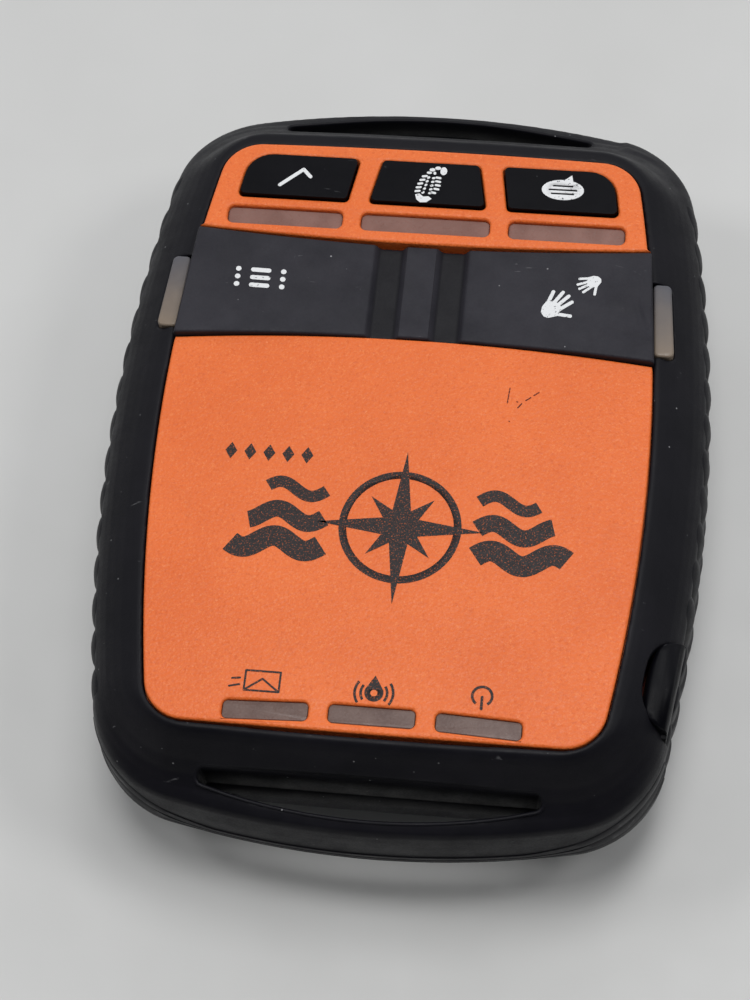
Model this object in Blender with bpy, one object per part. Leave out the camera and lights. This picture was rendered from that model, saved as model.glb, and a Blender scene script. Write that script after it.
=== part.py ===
"""Handheld emergency position beacon, lying on its back.

Frame: metres, +Z out of the face, +Y towards the end with the three status
lights, +X to the right of someone reading the face. The origin is under the
middle of the beacon, on the surface it lies on. Sizes below are millimetres.
"""
import math

import bmesh
import bpy

MM = 0.001
GAP = 0.3
HALF_LENGTH = 43.6
HALF_WIDTH = 32.5
KEYPAD_TOP = 25.0
LOGO_TOP = 24.6
LIP_TOP = 24.6

# Outlines: two bowed sides, two bowed ends and four round corners
SIDE_RADIUS = 175.0
FLAT_END = 600.0
BAR_END = 95.0
RIBBED_STEPS = (14, 4, 2)
PLAIN_STEPS = (4, 4, 2)
RIB_DEPTH = 0.5

# Outer skin of the bumper: height, half width, half length, corner, end radius, rib depth
BUMPER_SKIN = (
    (0.0, 29.6, 33.8, 8.0, FLAT_END, 0.0),
    (1.0, 30.5, 34.8, 8.5, FLAT_END, 0.0),
    (4.0, 31.4, 35.9, 9.0, FLAT_END, 0.0),
    (6.5, 32.0, 36.6, 9.5, FLAT_END, RIB_DEPTH),
    (9.4, 32.4, 38.6, 10.0, 300.0, RIB_DEPTH),
    (9.9, 32.4, 42.4, 11.0, BAR_END, RIB_DEPTH),
    (10.4, HALF_WIDTH, 43.5, 11.5, BAR_END, RIB_DEPTH),
    (12.5, HALF_WIDTH, HALF_LENGTH, 11.5, BAR_END, RIB_DEPTH),
    (15.4, 32.5, 43.4, 11.5, BAR_END, RIB_DEPTH),
    (17.9, 32.2, 42.1, 11.0, 105.0, RIB_DEPTH),
    (19.5, 31.8, 39.7, 10.0, 250.0, RIB_DEPTH),
    (21.5, 30.7, 37.9, 9.0, FLAT_END, 0.0),
    (23.2, 28.8, 36.9, 7.5, FLAT_END, 0.0),
    (24.2, 27.0, 36.2, 6.0, FLAT_END, 0.0),
    (LIP_TOP, 26.4, 35.8, 5.4, FLAT_END, 0.0),
)

# Outer skin of the two hard housings inside the bumper, in the same columns
REAR_SKIN = (
    (0.3, 28.0, 32.3, 6.0),
    (1.5, 28.8, 33.0, 6.5),
    (4.0, 29.4, 34.2, 7.0),
    (8.0, 29.6, 35.3, 7.5),
    (11.0, 29.6, 36.3, 8.0),
    (14.0, 29.6, 36.3, 8.0),
)
FRONT_SKIN = (
    (15.4, 29.6, 36.3, 8.0),
    (19.0, 29.6, 36.3, 8.0),
    (21.0, 28.9, 35.9, 7.6),
    (22.2, 27.6, 35.6, 6.5),
)
FRONT_CAVITY = (
    (21.3, 26.0, 33.2, 6.0),
    (20.4, 27.0, 34.0, 6.5),
    (19.0, 27.9, 34.6, 7.0),
    (15.4, 27.9, 34.6, 7.0),
)
SHOULDER_TOP = 22.2
CEILING = 21.3

# Raised orange panel, a little nearer the status-light end
PANEL_HALF_X = 25.7
PANEL_HALF_Y = 34.3
PANEL_CORNER = 4.5
PANEL_SHIFT = 0.9

# Rubber strap that covers the two emergency keys
BED = 22.9
STRAP_LOW = 23.3
STRAP_MIDDLE_TOP = 24.8
STRAP_END_TOP = 25.3
WEB_TOP = 24.2
LAND_EDGE = 1.6
CENTRE_EDGE = 2.8
HINGE_X = 3.4
FLAP_EDGE = 4.0
GROOVE_EDGE = 5.2
FLAP_END_NEAR_KEYS = 24.3
FLAP_END_NEAR_LOGO = 25.2
STRAP_HALF_SPAN = 25.0

# Lanyard slots through both ends of the bumper
SLOT_HALF = 16.8
SLOT_INNER = 38.2
SLOT_OUTER_MIDDLE = 41.5
SLOT_OUTER_END = 39.7

# Keys and windows
KEY_OPENINGS = {
    "check_in_key": ((8.75, -26.1), (7.85, -31.7), (20.1, -31.7), (20.9, -26.1)),
    "tracking_key": ((-6.46, -26.1), (-5.4, -31.7), (5.4, -31.7), (6.46, -26.1)),
    "message_key": ((-20.9, -26.1), (-20.1, -31.7), (-7.85, -31.7), (-8.75, -26.1)),
}
KEY_RADII = {
    "check_in_key": (0.4, 0.4, 3.0, 0.5),
    "tracking_key": (0.4, 0.4, 0.4, 0.4),
    "message_key": (0.5, 3.0, 0.4, 0.4),
}
KEY_TOP = 25.4
KEY_BEVEL = 0.3
PLUNGER_SCALE = 0.16
KEY_SKIRT = 21.0
PLUNGER_TIP = 18.0
EMERGENCY_KEY_TOP = 23.0
EMERGENCY_KEY_X = 14.6
EMERGENCY_KEY_Y = -15.4
EMERGENCY_KEY_HALF = (6.6, 3.9)
KEY_WINDOWS = {
    "check_in_window": (9.05, 21.7),
    "tracking_window": (-7.05, 7.05),
    "message_window": (-21.7, -9.05),
}
KEY_WINDOW_Y = (-24.9, -22.7)
STATUS_WINDOWS = {
    "power_window": (-14.9, -6.3),
    "position_window": (-4.35, 4.35),
    "sent_window": (6.3, 14.9),
}
STATUS_WINDOW_Y = (32.0, 34.0)
WINDOW_LOW = 21.6
WINDOW_SUNK = 0.35

# Circuit board and what it carries
BOARD_LOW = 15.6
BOARD_TOP = 16.6
PART_LOW = BOARD_TOP + GAP
DOME_RADIUS = 2.4
DOME_TOP = 17.45
LIGHT_BAR_HALF = 16.5
LIGHT_BAR_TOP = 18.0
LIGHT_PEAK = 20.4
LIGHT_PITCH = 14.0

# Battery bay and its door
CELL_RADIUS = 5.1
CELL_PITCH = 10.5
CELL_Z = 7.2
CELL_BASE = 21.9
CELL_SHOULDER = 21.7
CELL_TIP = 22.6
BAY_HALF_X = 24.0
BAY_HALF_Y = 21.1
BAY_ROOF = 12.7
DOOR_LOW = 0.3
DOOR_TOP = 1.7
DOOR_HALF_X = 25.6
DOOR_HALF_Y = 31.2
DOOR_SIDE_RADIUS = 400.0
DOOR_RECESS_ROOF = 3.0
FASTENER_Y = 26.9
PAD_RADIUS = 4.4
PAD_TOP = 3.4
COUNTERBORE_RADIUS = 3.7
COUNTERBORE_TOP = 2.6
HEAD_RADIUS = 2.55
SHANK_RADIUS = 1.5
SHANK_TIP = 9.3
BAIL_Z = 1.0
BAIL_HALF_THICKNESS = 0.3
HOUSING_SCREW_X = 22.0
HOUSING_SCREW_Y = 27.2

# Power button on the left edge
BUTTON_ORIGIN = (-29.0, 26.0, 18.7)
BUTTON_TILT = math.radians(-8.5)
STEM_Y = -3.5


def remove_everything():
    for item in list(bpy.data.objects):
        bpy.data.objects.remove(item, do_unlink=True)


# ---------------------------------------------------------------- outlines

def arc(centre, radius, start, end, steps):
    points = []
    for i in range(steps + 1):
        angle = start + (end - start) * i / steps
        points.append((centre[0] + radius * math.cos(angle), centre[1] + radius * math.sin(angle)))
    return points


def corner_centre(half_x, half_y, side_radius, end_radius, corner):
    """Centre of the arc that touches the bowed side and the bowed end from inside."""
    side_centre = half_x - side_radius
    end_centre = half_y - end_radius
    side_reach = side_radius - corner
    end_reach = end_radius - corner
    span = math.hypot(side_centre, end_centre)
    along = (side_reach ** 2 - end_reach ** 2 + span ** 2) / (2 * span)
    across = math.sqrt(side_reach ** 2 - along ** 2)
    ux = -side_centre / span
    uy = end_centre / span
    return side_centre + along * ux - across * uy, along * uy + across * ux


def oval(half_x, half_y, corner, end_radius=FLAT_END, shift=0.0, steps=PLAIN_STEPS, ribs=0.0,
         side_radius=SIDE_RADIUS):
    """Closed outline with bowed sides and ends; every second point on a side steps in by ribs."""
    cx, cy = corner_centre(half_x, half_y, side_radius, end_radius, corner)
    side_centre = half_x - side_radius
    end_centre = half_y - end_radius
    side_turn = math.atan2(cy, cx - side_centre)
    end_turn = math.atan2(cy - end_centre, cx)
    side = arc((side_centre, 0.0), side_radius, 0.0, side_turn, steps[0])
    side = [(x - ribs * (i % 2), y) for i, (x, y) in enumerate(side)]
    bend = arc((cx, cy), corner, side_turn, end_turn, steps[1])
    end = arc((0.0, end_centre), end_radius, end_turn, math.pi / 2, steps[2])
    quarter = side[:-1] + bend + end[1:]
    outline = list(quarter)
    outline += [(-x, y) for x, y in reversed(quarter[:-1])]
    outline += [(-x, -y) for x, y in quarter[1:]]
    outline += [(x, -y) for x, y in reversed(quarter[1:-1])]
    return [(x, y + shift) for x, y in outline]


def rounded(corners, radii, steps=3):
    """Polygon whose corners are rounded, each by its own radius."""
    points = []
    count = len(corners)
    for i, (px, py) in enumerate(corners):
        ax, ay = corners[i - 1]
        bx, by = corners[(i + 1) % count]
        ua = math.atan2(ay - py, ax - px)
        ub = math.atan2(by - py, bx - px)
        turn = (ub - ua + math.pi) % (2 * math.pi) - math.pi
        half = abs(turn) / 2
        middle = ua + turn / 2
        reach = radii[i] / math.sin(half)
        centre = (px + reach * math.cos(middle), py + reach * math.sin(middle))
        sweep = (math.pi - 2 * half) * (1 if turn < 0 else -1)
        start = middle + math.pi - sweep / 2
        points += arc(centre, radii[i], start, start + sweep, steps)
    return points


def inset(corners, distance):
    """Convex counterclockwise polygon with each side moved inwards."""
    moved = []
    count = len(corners)
    for i in range(count):
        (ax, ay), (bx, by) = corners[i - 1], corners[i]
        (cx, cy), (dx, dy) = corners[i], corners[(i + 1) % count]
        a1 = math.atan2(by - ay, bx - ax)
        a2 = math.atan2(dy - cy, dx - cx)
        half_turn = (a2 - a1) / 2
        direction = (a1 + a2) / 2 + math.pi / 2
        if abs(half_turn) > math.pi / 2:
            half_turn -= math.copysign(math.pi, half_turn)
            direction += math.pi
        reach = distance / math.cos(half_turn)
        moved.append((bx + reach * math.cos(direction), by + reach * math.sin(direction)))
    return moved


def box_corners(x0, x1, y0, y1):
    return ((x0, y0), (x1, y0), (x1, y1), (x0, y1))


def rounded_box(x0, x1, y0, y1, radius, steps=3):
    return rounded(box_corners(x0, x1, y0, y1), (radius,) * 4, steps)


def circle(radius, at=(0.0, 0.0), steps=16):
    return arc(at, radius, 0.0, 2 * math.pi, steps)[:-1]


# ------------------------------------------------------------------ solids
# A solid is a pair: a list of vertices and a list of faces.

def lift(outline, z):
    return [(x, y, z) for x, y in outline]


def loft(rings, closed=False):
    """Skin over rings of equal point count; closed joins the last ring to the first."""
    count = len(rings[0])
    vertices = [point for ring in rings for point in ring]
    faces = []
    pairs = len(rings) if closed else len(rings) - 1
    for r in range(pairs):
        low = r * count
        high = ((r + 1) % len(rings)) * count
        for i in range(count):
            j = (i + 1) % count
            faces.append((low + i, low + j, high + j, high + i))
    if not closed:
        faces.append(tuple(reversed(range(count))))
        faces.append(tuple(range(len(vertices) - count, len(vertices))))
    return vertices, faces


def prism(outline, low, high):
    return loft([lift(outline, low), lift(outline, high)])


def tube(outer, inner, low, high):
    rings = [lift(outer, low), lift(outer, high), lift(inner, high), lift(inner, low)]
    return loft(rings, closed=True)


def turned(profile, at=(0.0, 0.0), steps=16, closed=False):
    """Solid of revolution about a vertical axis; the profile holds (radius, height) pairs."""
    return loft([lift(circle(radius, at, steps), z) for radius, z in profile], closed)


def stepped(corners, radii, levels):
    """The same outline at several heights, scaled about its middle: (height, scale) pairs."""
    outline = rounded(corners, radii)
    cx = sum(x for x, y in outline) / len(outline)
    cy = sum(y for x, y in outline) / len(outline)
    rings = []
    for z, scale in levels:
        rings.append([(cx + (x - cx) * scale, cy + (y - cy) * scale, z) for x, y in outline])
    return loft(rings)


def box(x0, x1, y0, y1, z0, z1):
    return prism(box_corners(x0, x1, y0, y1), z0, z1)


def along_x(solid, at=(0.0, 0.0, 0.0)):
    """Turn a solid built up +Z so that it points along +X, then move it."""
    vertices = [(z + at[0], y + at[1], -x + at[2]) for x, y, z in solid[0]]
    return vertices, solid[1]


def swung(solid, angle, pivot):
    """Turn a solid about a vertical axis through the pivot."""
    c, s = math.cos(angle), math.sin(angle)
    vertices = []
    for x, y, z in solid[0]:
        dx, dy = x - pivot[0], y - pivot[1]
        vertices.append((pivot[0] + dx * c - dy * s, pivot[1] + dx * s + dy * c, z))
    return vertices, solid[1]


def mirrored_x(solid):
    return [(-x, y, z) for x, y, z in solid[0]], solid[1]


# ----------------------------------------------------------------- objects

MATERIALS = {
    "orange_plastic": ((0.83, 0.19, 0.042, 1.0), 0.48, 0.0),
    "black_rubber": ((0.013, 0.014, 0.020, 1.0), 0.55, 0.0),
    "strap_rubber": ((0.027, 0.027, 0.033, 1.0), 0.70, 0.0),
    "key_rubber": ((0.008, 0.008, 0.011, 1.0), 0.42, 0.0),
    "smoked_window": ((0.15, 0.10, 0.09, 1.0), 0.22, 0.0),
    "milky_window": ((0.32, 0.30, 0.27, 1.0), 0.35, 0.0),
    "black_plastic": ((0.018, 0.018, 0.021, 1.0), 0.50, 0.0),
    "seal_silicone": ((0.30, 0.05, 0.03, 1.0), 0.60, 0.0),
    "board_green": ((0.02, 0.11, 0.05, 1.0), 0.45, 0.0),
    "chip_black": ((0.02, 0.02, 0.02, 1.0), 0.40, 0.0),
    "ceramic": ((0.55, 0.50, 0.42, 1.0), 0.40, 0.0),
    "shield_metal": ((0.62, 0.62, 0.60, 1.0), 0.35, 1.0),
    "steel": ((0.55, 0.55, 0.56, 1.0), 0.32, 1.0),
    "brass": ((0.70, 0.50, 0.22, 1.0), 0.35, 1.0),
    "led_white": ((0.80, 0.78, 0.70, 1.0), 0.30, 0.0),
    "cell_label": ((0.10, 0.13, 0.22, 1.0), 0.35, 0.4),
}
SMOOTH_LIMIT = math.radians(34)


def material(name):
    if name in bpy.data.materials:
        return bpy.data.materials[name]
    colour, roughness, metallic = MATERIALS[name]
    made = bpy.data.materials.new(name)
    made.use_nodes = True
    shader = made.node_tree.nodes["Principled BSDF"]
    shader.inputs["Base Color"].default_value = colour
    shader.inputs["Roughness"].default_value = roughness
    shader.inputs["Metallic"].default_value = metallic
    made.diffuse_color = colour
    return made


def new_object(name, solids, origin=(0.0, 0.0, 0.0)):
    """One object from solids given in millimetres, with its origin where asked."""
    mesh = bpy.data.meshes.new(name)
    vertices = []
    faces = []
    for solid_vertices, solid_faces in solids:
        base = len(vertices)
        vertices += [tuple((c - o) * MM for c, o in zip(v, origin)) for v in solid_vertices]
        faces += [tuple(base + i for i in face) for face in solid_faces]
    mesh.from_pydata(vertices, [], faces)
    shape = bmesh.new()
    shape.from_mesh(mesh)
    bmesh.ops.recalc_face_normals(shape, faces=shape.faces)
    shape.to_mesh(mesh)
    shape.free()
    mesh.shade_smooth()
    mesh.set_sharp_from_angle(angle=SMOOTH_LIMIT)
    made = bpy.data.objects.new(name, mesh)
    made.location = [c * MM for c in origin]
    bpy.context.scene.collection.objects.link(made)
    return made


def make(name, solid, finish, origin=(0.0, 0.0, 0.0)):
    made = new_object(name, [solid], origin)
    made.data.materials.append(material(finish))
    return made


def change(target, name, solids, operation="DIFFERENCE"):
    """Cut solids from the target, or join them to it, with a hidden tool object."""
    tool = new_object(name, solids)
    tool.hide_render = True
    tool.display_type = "WIRE"
    modifier = target.modifiers.new(name, "BOOLEAN")
    modifier.operation = operation
    modifier.solver = "EXACT"
    modifier.object = tool


# ----------------------------------------------------------- shared shapes

def strap_low_y(x):
    return -21.0 - 0.8 * (x / STRAP_HALF_SPAN) ** 2


def strap_high_y(x):
    return -9.9 + 1.35 * (x / STRAP_HALF_SPAN) ** 2


def band_outline(low_y, high_y, half, steps=10):
    """Outline between two curves y(x), from -half to half."""
    xs = [-half + 2 * half * i / steps for i in range(steps + 1)]
    return [(x, low_y(x)) for x in xs] + [(x, high_y(x)) for x in reversed(xs)]


def door_outline(grow=0.0, corner=5.0):
    return oval(DOOR_HALF_X + grow, DOOR_HALF_Y + grow, corner, side_radius=DOOR_SIDE_RADIUS)


def key_outline(name, reduce=0.0):
    corners = inset(KEY_OPENINGS[name], reduce)
    return corners, KEY_RADII[name]


def side_window_corners(grow=0.0):
    """Light window in the bumper lip, beside the right end of the strap."""
    corners = ((25.45, -18.25), (26.9, -18.25), (27.6, -9.6), (25.85, -9.6))
    return inset(corners, -grow)


def button_space(depth):
    """Space around the power button, open to the side and to the top."""
    outline = rounded_box(-9.0, 2.4, -5.2, 5.2, 1.2)
    space = along_x(prism(outline, depth, -9.0), BUTTON_ORIGIN)
    return swung(space, BUTTON_TILT, BUTTON_ORIGIN)


# ------------------------------------------------------------- sub-parts

def bumper():
    rings = []
    for z, half_x, half_y, corner, end_radius, ribs in BUMPER_SKIN:
        rings.append(lift(oval(half_x, half_y, corner, end_radius, 0.0, RIBBED_STEPS, ribs), z))
    inner = []
    for z, half_x, half_y, corner in REAR_SKIN[:-1] + FRONT_SKIN[1:]:
        outline = oval(half_x + GAP, half_y + GAP, corner + GAP, FLAT_END, 0.0, RIBBED_STEPS)
        inner.append(lift(outline, z))
    inner[0] = [(x, y, 0.0) for x, y, z in inner[0]]
    inner[-1] = [(x, y, SHOULDER_TOP + GAP) for x, y, z in inner[-1]]
    window = oval(PANEL_HALF_X + GAP, PANEL_HALF_Y + GAP, PANEL_CORNER + GAP, FLAT_END,
                  PANEL_SHIFT, RIBBED_STEPS)
    inner.append(lift(window, SHOULDER_TOP + GAP))
    inner.append(lift(window, LIP_TOP))
    made = make("bumper", loft(rings + inner[::-1], closed=True), "black_rubber")

    def slot_edge(x):
        return SLOT_OUTER_MIDDLE - (SLOT_OUTER_MIDDLE - SLOT_OUTER_END) * (x / SLOT_HALF) ** 2

    outline = band_outline(lambda x: SLOT_INNER, slot_edge, SLOT_HALF, 8)
    upper = prism(outline, 5.0, 30.0)
    lower = [(-x, -y, z) for x, y, z in upper[0]], upper[1]
    change(made, "slot_cutter", [upper, lower])
    notch = prism(((24.3, -18.6), (27.25, -18.6), (27.98, -9.25), (24.3, -9.25)), 22.0, 27.0)
    change(made, "opening_cutter", [notch, mirrored_x(notch), button_space(2.0)])


def panel_ring(z, reduce=0.0):
    outline = oval(PANEL_HALF_X - reduce, PANEL_HALF_Y - reduce, PANEL_CORNER - reduce, FLAT_END,
                   PANEL_SHIFT)
    return lift(outline, z)


def front_housing():
    rings = [lift(oval(half_x, half_y, corner), z) for z, half_x, half_y, corner in FRONT_CAVITY]
    rings += [lift(oval(half_x, half_y, corner), z) for z, half_x, half_y, corner in FRONT_SKIN]
    rings += [panel_ring(SHOULDER_TOP), panel_ring(KEYPAD_TOP - 0.4), panel_ring(KEYPAD_TOP, 0.4)]
    made = make("front_housing", loft(rings), "orange_plastic")

    posts = []
    holes = []
    for x in (-HOUSING_SCREW_X, HOUSING_SCREW_X):
        for y in (-HOUSING_SCREW_Y, HOUSING_SCREW_Y):
            posts.append(prism(circle(2.4, (x, y), 12), PART_LOW, CEILING + 0.5))
            holes.append(prism(circle(1.3, (x, y), 12), PART_LOW - 1.0, 20.3))
    change(made, "post_adder", posts, "UNION")
    change(made, "post_hole_cutter", holes)

    logo_step = band_outline(lambda x: strap_high_y(x) - 2.0, lambda x: 40.0, 30.0)
    bed = band_outline(lambda x: strap_low_y(x) - GAP, lambda x: strap_high_y(x) + GAP, 30.0)
    change(made, "logo_step_cutter", [prism(logo_step, LOGO_TOP, 30.0)])
    change(made, "bed_cutter", [prism(bed, BED, 29.0)])

    openings = []
    for name in KEY_OPENINGS:
        corners, radii = key_outline(name)
        openings.append(prism(rounded(corners, radii), 17.0, 31.0))
    for x0, x1 in KEY_WINDOWS.values():
        openings.append(prism(rounded_box(x0, x1, *KEY_WINDOW_Y, 0.6), 17.0, 31.0))
    for x0, x1 in STATUS_WINDOWS.values():
        openings.append(prism(rounded_box(x0, x1, *STATUS_WINDOW_Y, 0.4), 17.0, 31.0))
    for sign in (-1, 1):
        half_x, half_y = EMERGENCY_KEY_HALF
        x = sign * EMERGENCY_KEY_X
        corners = rounded_box(x - half_x, x + half_x, EMERGENCY_KEY_Y - half_y,
                              EMERGENCY_KEY_Y + half_y, 1.5)
        openings.append(prism(corners, 17.0, 31.0))
        hole = rounded_box(25.9, 26.9, -17.2, -10.8, 0.4, 2)
        hole = [(sign * px, py) for px, py in hole]
        openings.append(prism(hole, 17.0, 31.0))
    change(made, "opening_cutter_front", openings)

    stem_hole = along_x(prism(circle(1.3, (0.0, STEM_Y), 12), 1.0, 5.0), BUTTON_ORIGIN)
    change(made, "button_seat_cutter", [button_space(2.05)])
    change(made, "stem_hole_cutter", [swung(stem_hole, BUTTON_TILT, BUTTON_ORIGIN)])


def rear_housing():
    rings = [lift(oval(half_x, half_y, corner), z) for z, half_x, half_y, corner in REAR_SKIN]
    made = make("rear_housing", loft(rings), "black_plastic")
    recess = prism(door_outline(GAP, 5.3), -2.0, DOOR_RECESS_ROOF)
    change(made, "door_recess_cutter", [recess])
    bay = box(-BAY_HALF_X, BAY_HALF_X, -BAY_HALF_Y, BAY_HALF_Y, -3.0, BAY_ROOF)
    change(made, "bay_cutter", [bay])
    pockets = []
    seats = []
    for sign in (-1, 1):
        for x in (-HOUSING_SCREW_X, HOUSING_SCREW_X):
            at = (x, sign * HOUSING_SCREW_Y)
            seats.append(turned(((2.2, 1.0), (2.2, 4.9), (1.3, 4.9), (1.3, 20.0)), at, 12))
        for x0, x1 in ((-17.5, -4.5), (4.5, 17.5)):
            y0, y1 = sorted((sign * 23.2, sign * 33.6))
            pockets.append(prism(rounded_box(x0, x1, y0, y1, 1.5), 5.0, 20.0))
        fastener = ((PAD_RADIUS + GAP, 1.0), (PAD_RADIUS + GAP, PAD_TOP + GAP),
                    (2.6, PAD_TOP + GAP), (2.6, 9.9))
        seats.append(turned(fastener, (0.0, sign * FASTENER_Y), 16))
    change(made, "pocket_cutter", pockets)
    change(made, "seat_cutter", seats)


def housing_gasket():
    ring = tube(oval(29.3, 36.0, 7.7), oval(28.2, 34.9, 7.3), 14.3, 15.1)
    make("housing_gasket", ring, "seal_silicone")


def battery_door():
    origin = (0.0, 0.0, DOOR_LOW)
    edge = door_outline(-0.5, 4.5)
    full = door_outline()
    rings = [lift(edge, DOOR_LOW), lift(full, DOOR_LOW + 0.4), lift(full, DOOR_TOP)]
    made = make("battery_door", loft(rings), "black_plastic", origin)
    pads = []
    bores = []
    for y in (-FASTENER_Y, FASTENER_Y):
        pads.append(prism(circle(PAD_RADIUS, (0.0, y)), 1.0, PAD_TOP))
        bore = ((COUNTERBORE_RADIUS, -1.0), (COUNTERBORE_RADIUS, COUNTERBORE_TOP),
                (SHANK_RADIUS + GAP, COUNTERBORE_TOP), (SHANK_RADIUS + GAP, 6.0))
        bores.append(turned(bore, (0.0, y)))
    change(made, "pad_adder", pads, "UNION")
    change(made, "bore_cutter", bores)


def door_gasket():
    outer = rounded_box(-25.0, 25.0, -22.1, 22.1, 1.4)
    inner = rounded_box(-24.3, 24.3, -21.4, 21.4, 0.7)
    make("door_gasket", tube(outer, inner, 2.0, 2.7), "seal_silicone")


def door_fastener(name, sign):
    """Quarter-turn screw with a slotted head, and the wire bail that folds into the slot."""
    y = sign * FASTENER_Y
    head_low = 0.4
    profile = ((HEAD_RADIUS - 0.2, head_low), (HEAD_RADIUS, head_low + 0.2), (HEAD_RADIUS, 2.3),
               (SHANK_RADIUS, 2.3), (SHANK_RADIUS, SHANK_TIP - 0.6),
               (SHANK_RADIUS - 0.5, SHANK_TIP))
    made = make("door_screw_" + name, turned(profile, (0.0, y)), "steel", (0.0, y, BAIL_Z))
    channel = box(-4.0, 4.0, y - 0.72, y + 0.72, -1.0, 1.72)
    change(made, "channel_cutter_" + name, [channel])

    def half_round(radius, bar_y):
        bow = arc((0.0, 0.0), radius, 0.0, -sign * math.pi, 12)
        return [(px, y + py) for px, py in bow + [(-radius, sign * bar_y), (radius, sign * bar_y)]]

    outer = half_round(3.4, 0.3)
    inner = half_round(2.85, -0.3)
    wire = tube(outer, inner, BAIL_Z - BAIL_HALF_THICKNESS, BAIL_Z + BAIL_HALF_THICKNESS)
    make("door_bail_" + name, wire, "steel", (0.0, y, BAIL_Z))
    sleeve = ((2.3, 4.0), (2.3, 9.5), (SHANK_RADIUS + GAP, 9.5), (SHANK_RADIUS + GAP, 4.0))
    make("screw_insert_" + name, turned(sleeve, (0.0, y), 16, closed=True), "brass")


def battery_cell(index):
    """One AAA cell; neighbours point opposite ways."""
    y = (index - 1.5) * CELL_PITCH
    profile = ((CELL_RADIUS - 0.4, -CELL_BASE), (CELL_RADIUS, -CELL_BASE + 0.3),
               (CELL_RADIUS, CELL_SHOULDER - 0.4), (CELL_RADIUS - 0.4, CELL_SHOULDER),
               (1.9, CELL_SHOULDER), (1.9, CELL_TIP))
    cell = along_x(turned(profile, steps=18), (0.0, y, CELL_Z))
    name = "battery_cell_%d" % (index + 1)
    finished = cell if index % 2 == 0 else mirrored_x(cell)
    make(name, finished, "cell_label")


def contact_spring(index):
    """Flat conical spring that presses on the base of a cell."""
    y = (index - 1.5) * CELL_PITCH
    turns = 2.0
    steps = 16
    wire = 0.22
    rings = []
    for i in range(steps + 1):
        share = i / steps
        angle = 2 * math.pi * turns * share
        radius = 3.4 - 1.7 * share
        x = -22.95 + 0.6 * share
        ring = []
        for corner in range(4):
            around = math.pi / 2 * corner
            out = radius + wire * math.cos(around)
            ring.append((x + wire * math.sin(around), y + out * math.cos(angle),
                         CELL_Z + out * math.sin(angle)))
        rings.append(ring)
    spring = loft(rings)
    finished = spring if index % 2 == 0 else mirrored_x(spring)
    make("contact_spring_%d" % (index + 1), finished, "steel")


def contact_plate(name, sign):
    """Plate behind the cell ends, with a button wherever a cell's tip meets it."""
    outline = [(23.7, -19.5), (23.7, 19.5), (23.4, 19.5)]
    for index in (3, 2, 1, 0):
        tip_here = (index % 2 == 0) == (sign > 0)
        if tip_here:
            y = (index - 1.5) * CELL_PITCH
            outline += [(23.4, y + 2.2), (22.9, y + 1.6), (22.9, y - 1.6), (23.4, y - 2.2)]
    outline.append((23.4, -19.5))
    outline = [(sign * x, y) for x, y in outline]
    make("contact_plate_" + name, prism(outline, 4.0, 10.4), "shield_metal")


def circuit_board():
    made = make("circuit_board", prism(oval(27.3, 34.0, 6.4), BOARD_LOW, BOARD_TOP), "board_green")
    holes = []
    for x in (-HOUSING_SCREW_X, HOUSING_SCREW_X):
        for y in (-HOUSING_SCREW_Y, HOUSING_SCREW_Y):
            holes.append(prism(circle(1.4, (x, y), 12), 10.0, 20.0))
    change(made, "board_hole_cutter", holes)


def block(name, corners, radius, top, finish):
    """Low part soldered to the board, with a small bevel around its top."""
    levels = ((PART_LOW, 1.0), (top - 0.3, 1.0), (top, 0.97))
    make(name, stepped(corners, (radius,) * 4, levels), finish)


def light_bar(name, y, half_y):
    """White strip on the board with three risers, one under each light window."""
    outline = [(-LIGHT_BAR_HALF, PART_LOW), (LIGHT_BAR_HALF, PART_LOW),
               (LIGHT_BAR_HALF, LIGHT_BAR_TOP)]
    for x in (LIGHT_PITCH, 0.0, -LIGHT_PITCH):
        outline += [(x + 1.6, LIGHT_BAR_TOP), (x + 1.2, LIGHT_PEAK), (x - 1.2, LIGHT_PEAK),
                    (x - 1.6, LIGHT_BAR_TOP)]
    outline.append((-LIGHT_BAR_HALF, LIGHT_BAR_TOP))
    rings = [[(x, y - half_y, z) for x, z in outline], [(x, y + half_y, z) for x, z in outline]]
    make(name, loft(rings), "led_white")


def board_parts():
    block("position_antenna", box_corners(-19.2, -1.2, 9.5, 27.5), 1.0, 20.8, "ceramic")
    block("uplink_antenna", box_corners(0.4, 19.2, 6.0, 24.8), 1.0, 20.8, "ceramic")
    block("radio_shield", box_corners(-19.0, 19.0, -7.5, 4.0), 0.8, 19.4, "shield_metal")
    block("power_switch", box_corners(-23.6, -20.0, 20.6, 24.2), 0.3, 20.4, "chip_black")
    places = {
        "check_in_switch": (14.45, -28.9),
        "tracking_switch": (0.0, -28.9),
        "message_switch": (-14.45, -28.9),
        "sos_switch": (EMERGENCY_KEY_X, EMERGENCY_KEY_Y),
        "help_switch": (-EMERGENCY_KEY_X, EMERGENCY_KEY_Y),
    }
    dome = ((DOME_RADIUS, PART_LOW), (DOME_RADIUS, PART_LOW + 0.2),
            (DOME_RADIUS * 0.75, PART_LOW + 0.45), (DOME_RADIUS / 3, DOME_TOP))
    for name, at in places.items():
        make(name, turned(dome, at, 12), "shield_metal")
    light_bar("status_lights", 32.6, 0.7)
    light_bar("key_lights", -23.8, 0.8)
    for name, sign in (("sos_light", 1), ("help_light", -1)):
        corners = [(sign * x, y) for x, y in box_corners(25.0, 26.6, -15.6, -12.4)]
        make(name, prism(corners, PART_LOW, 19.2), "led_white")


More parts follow.
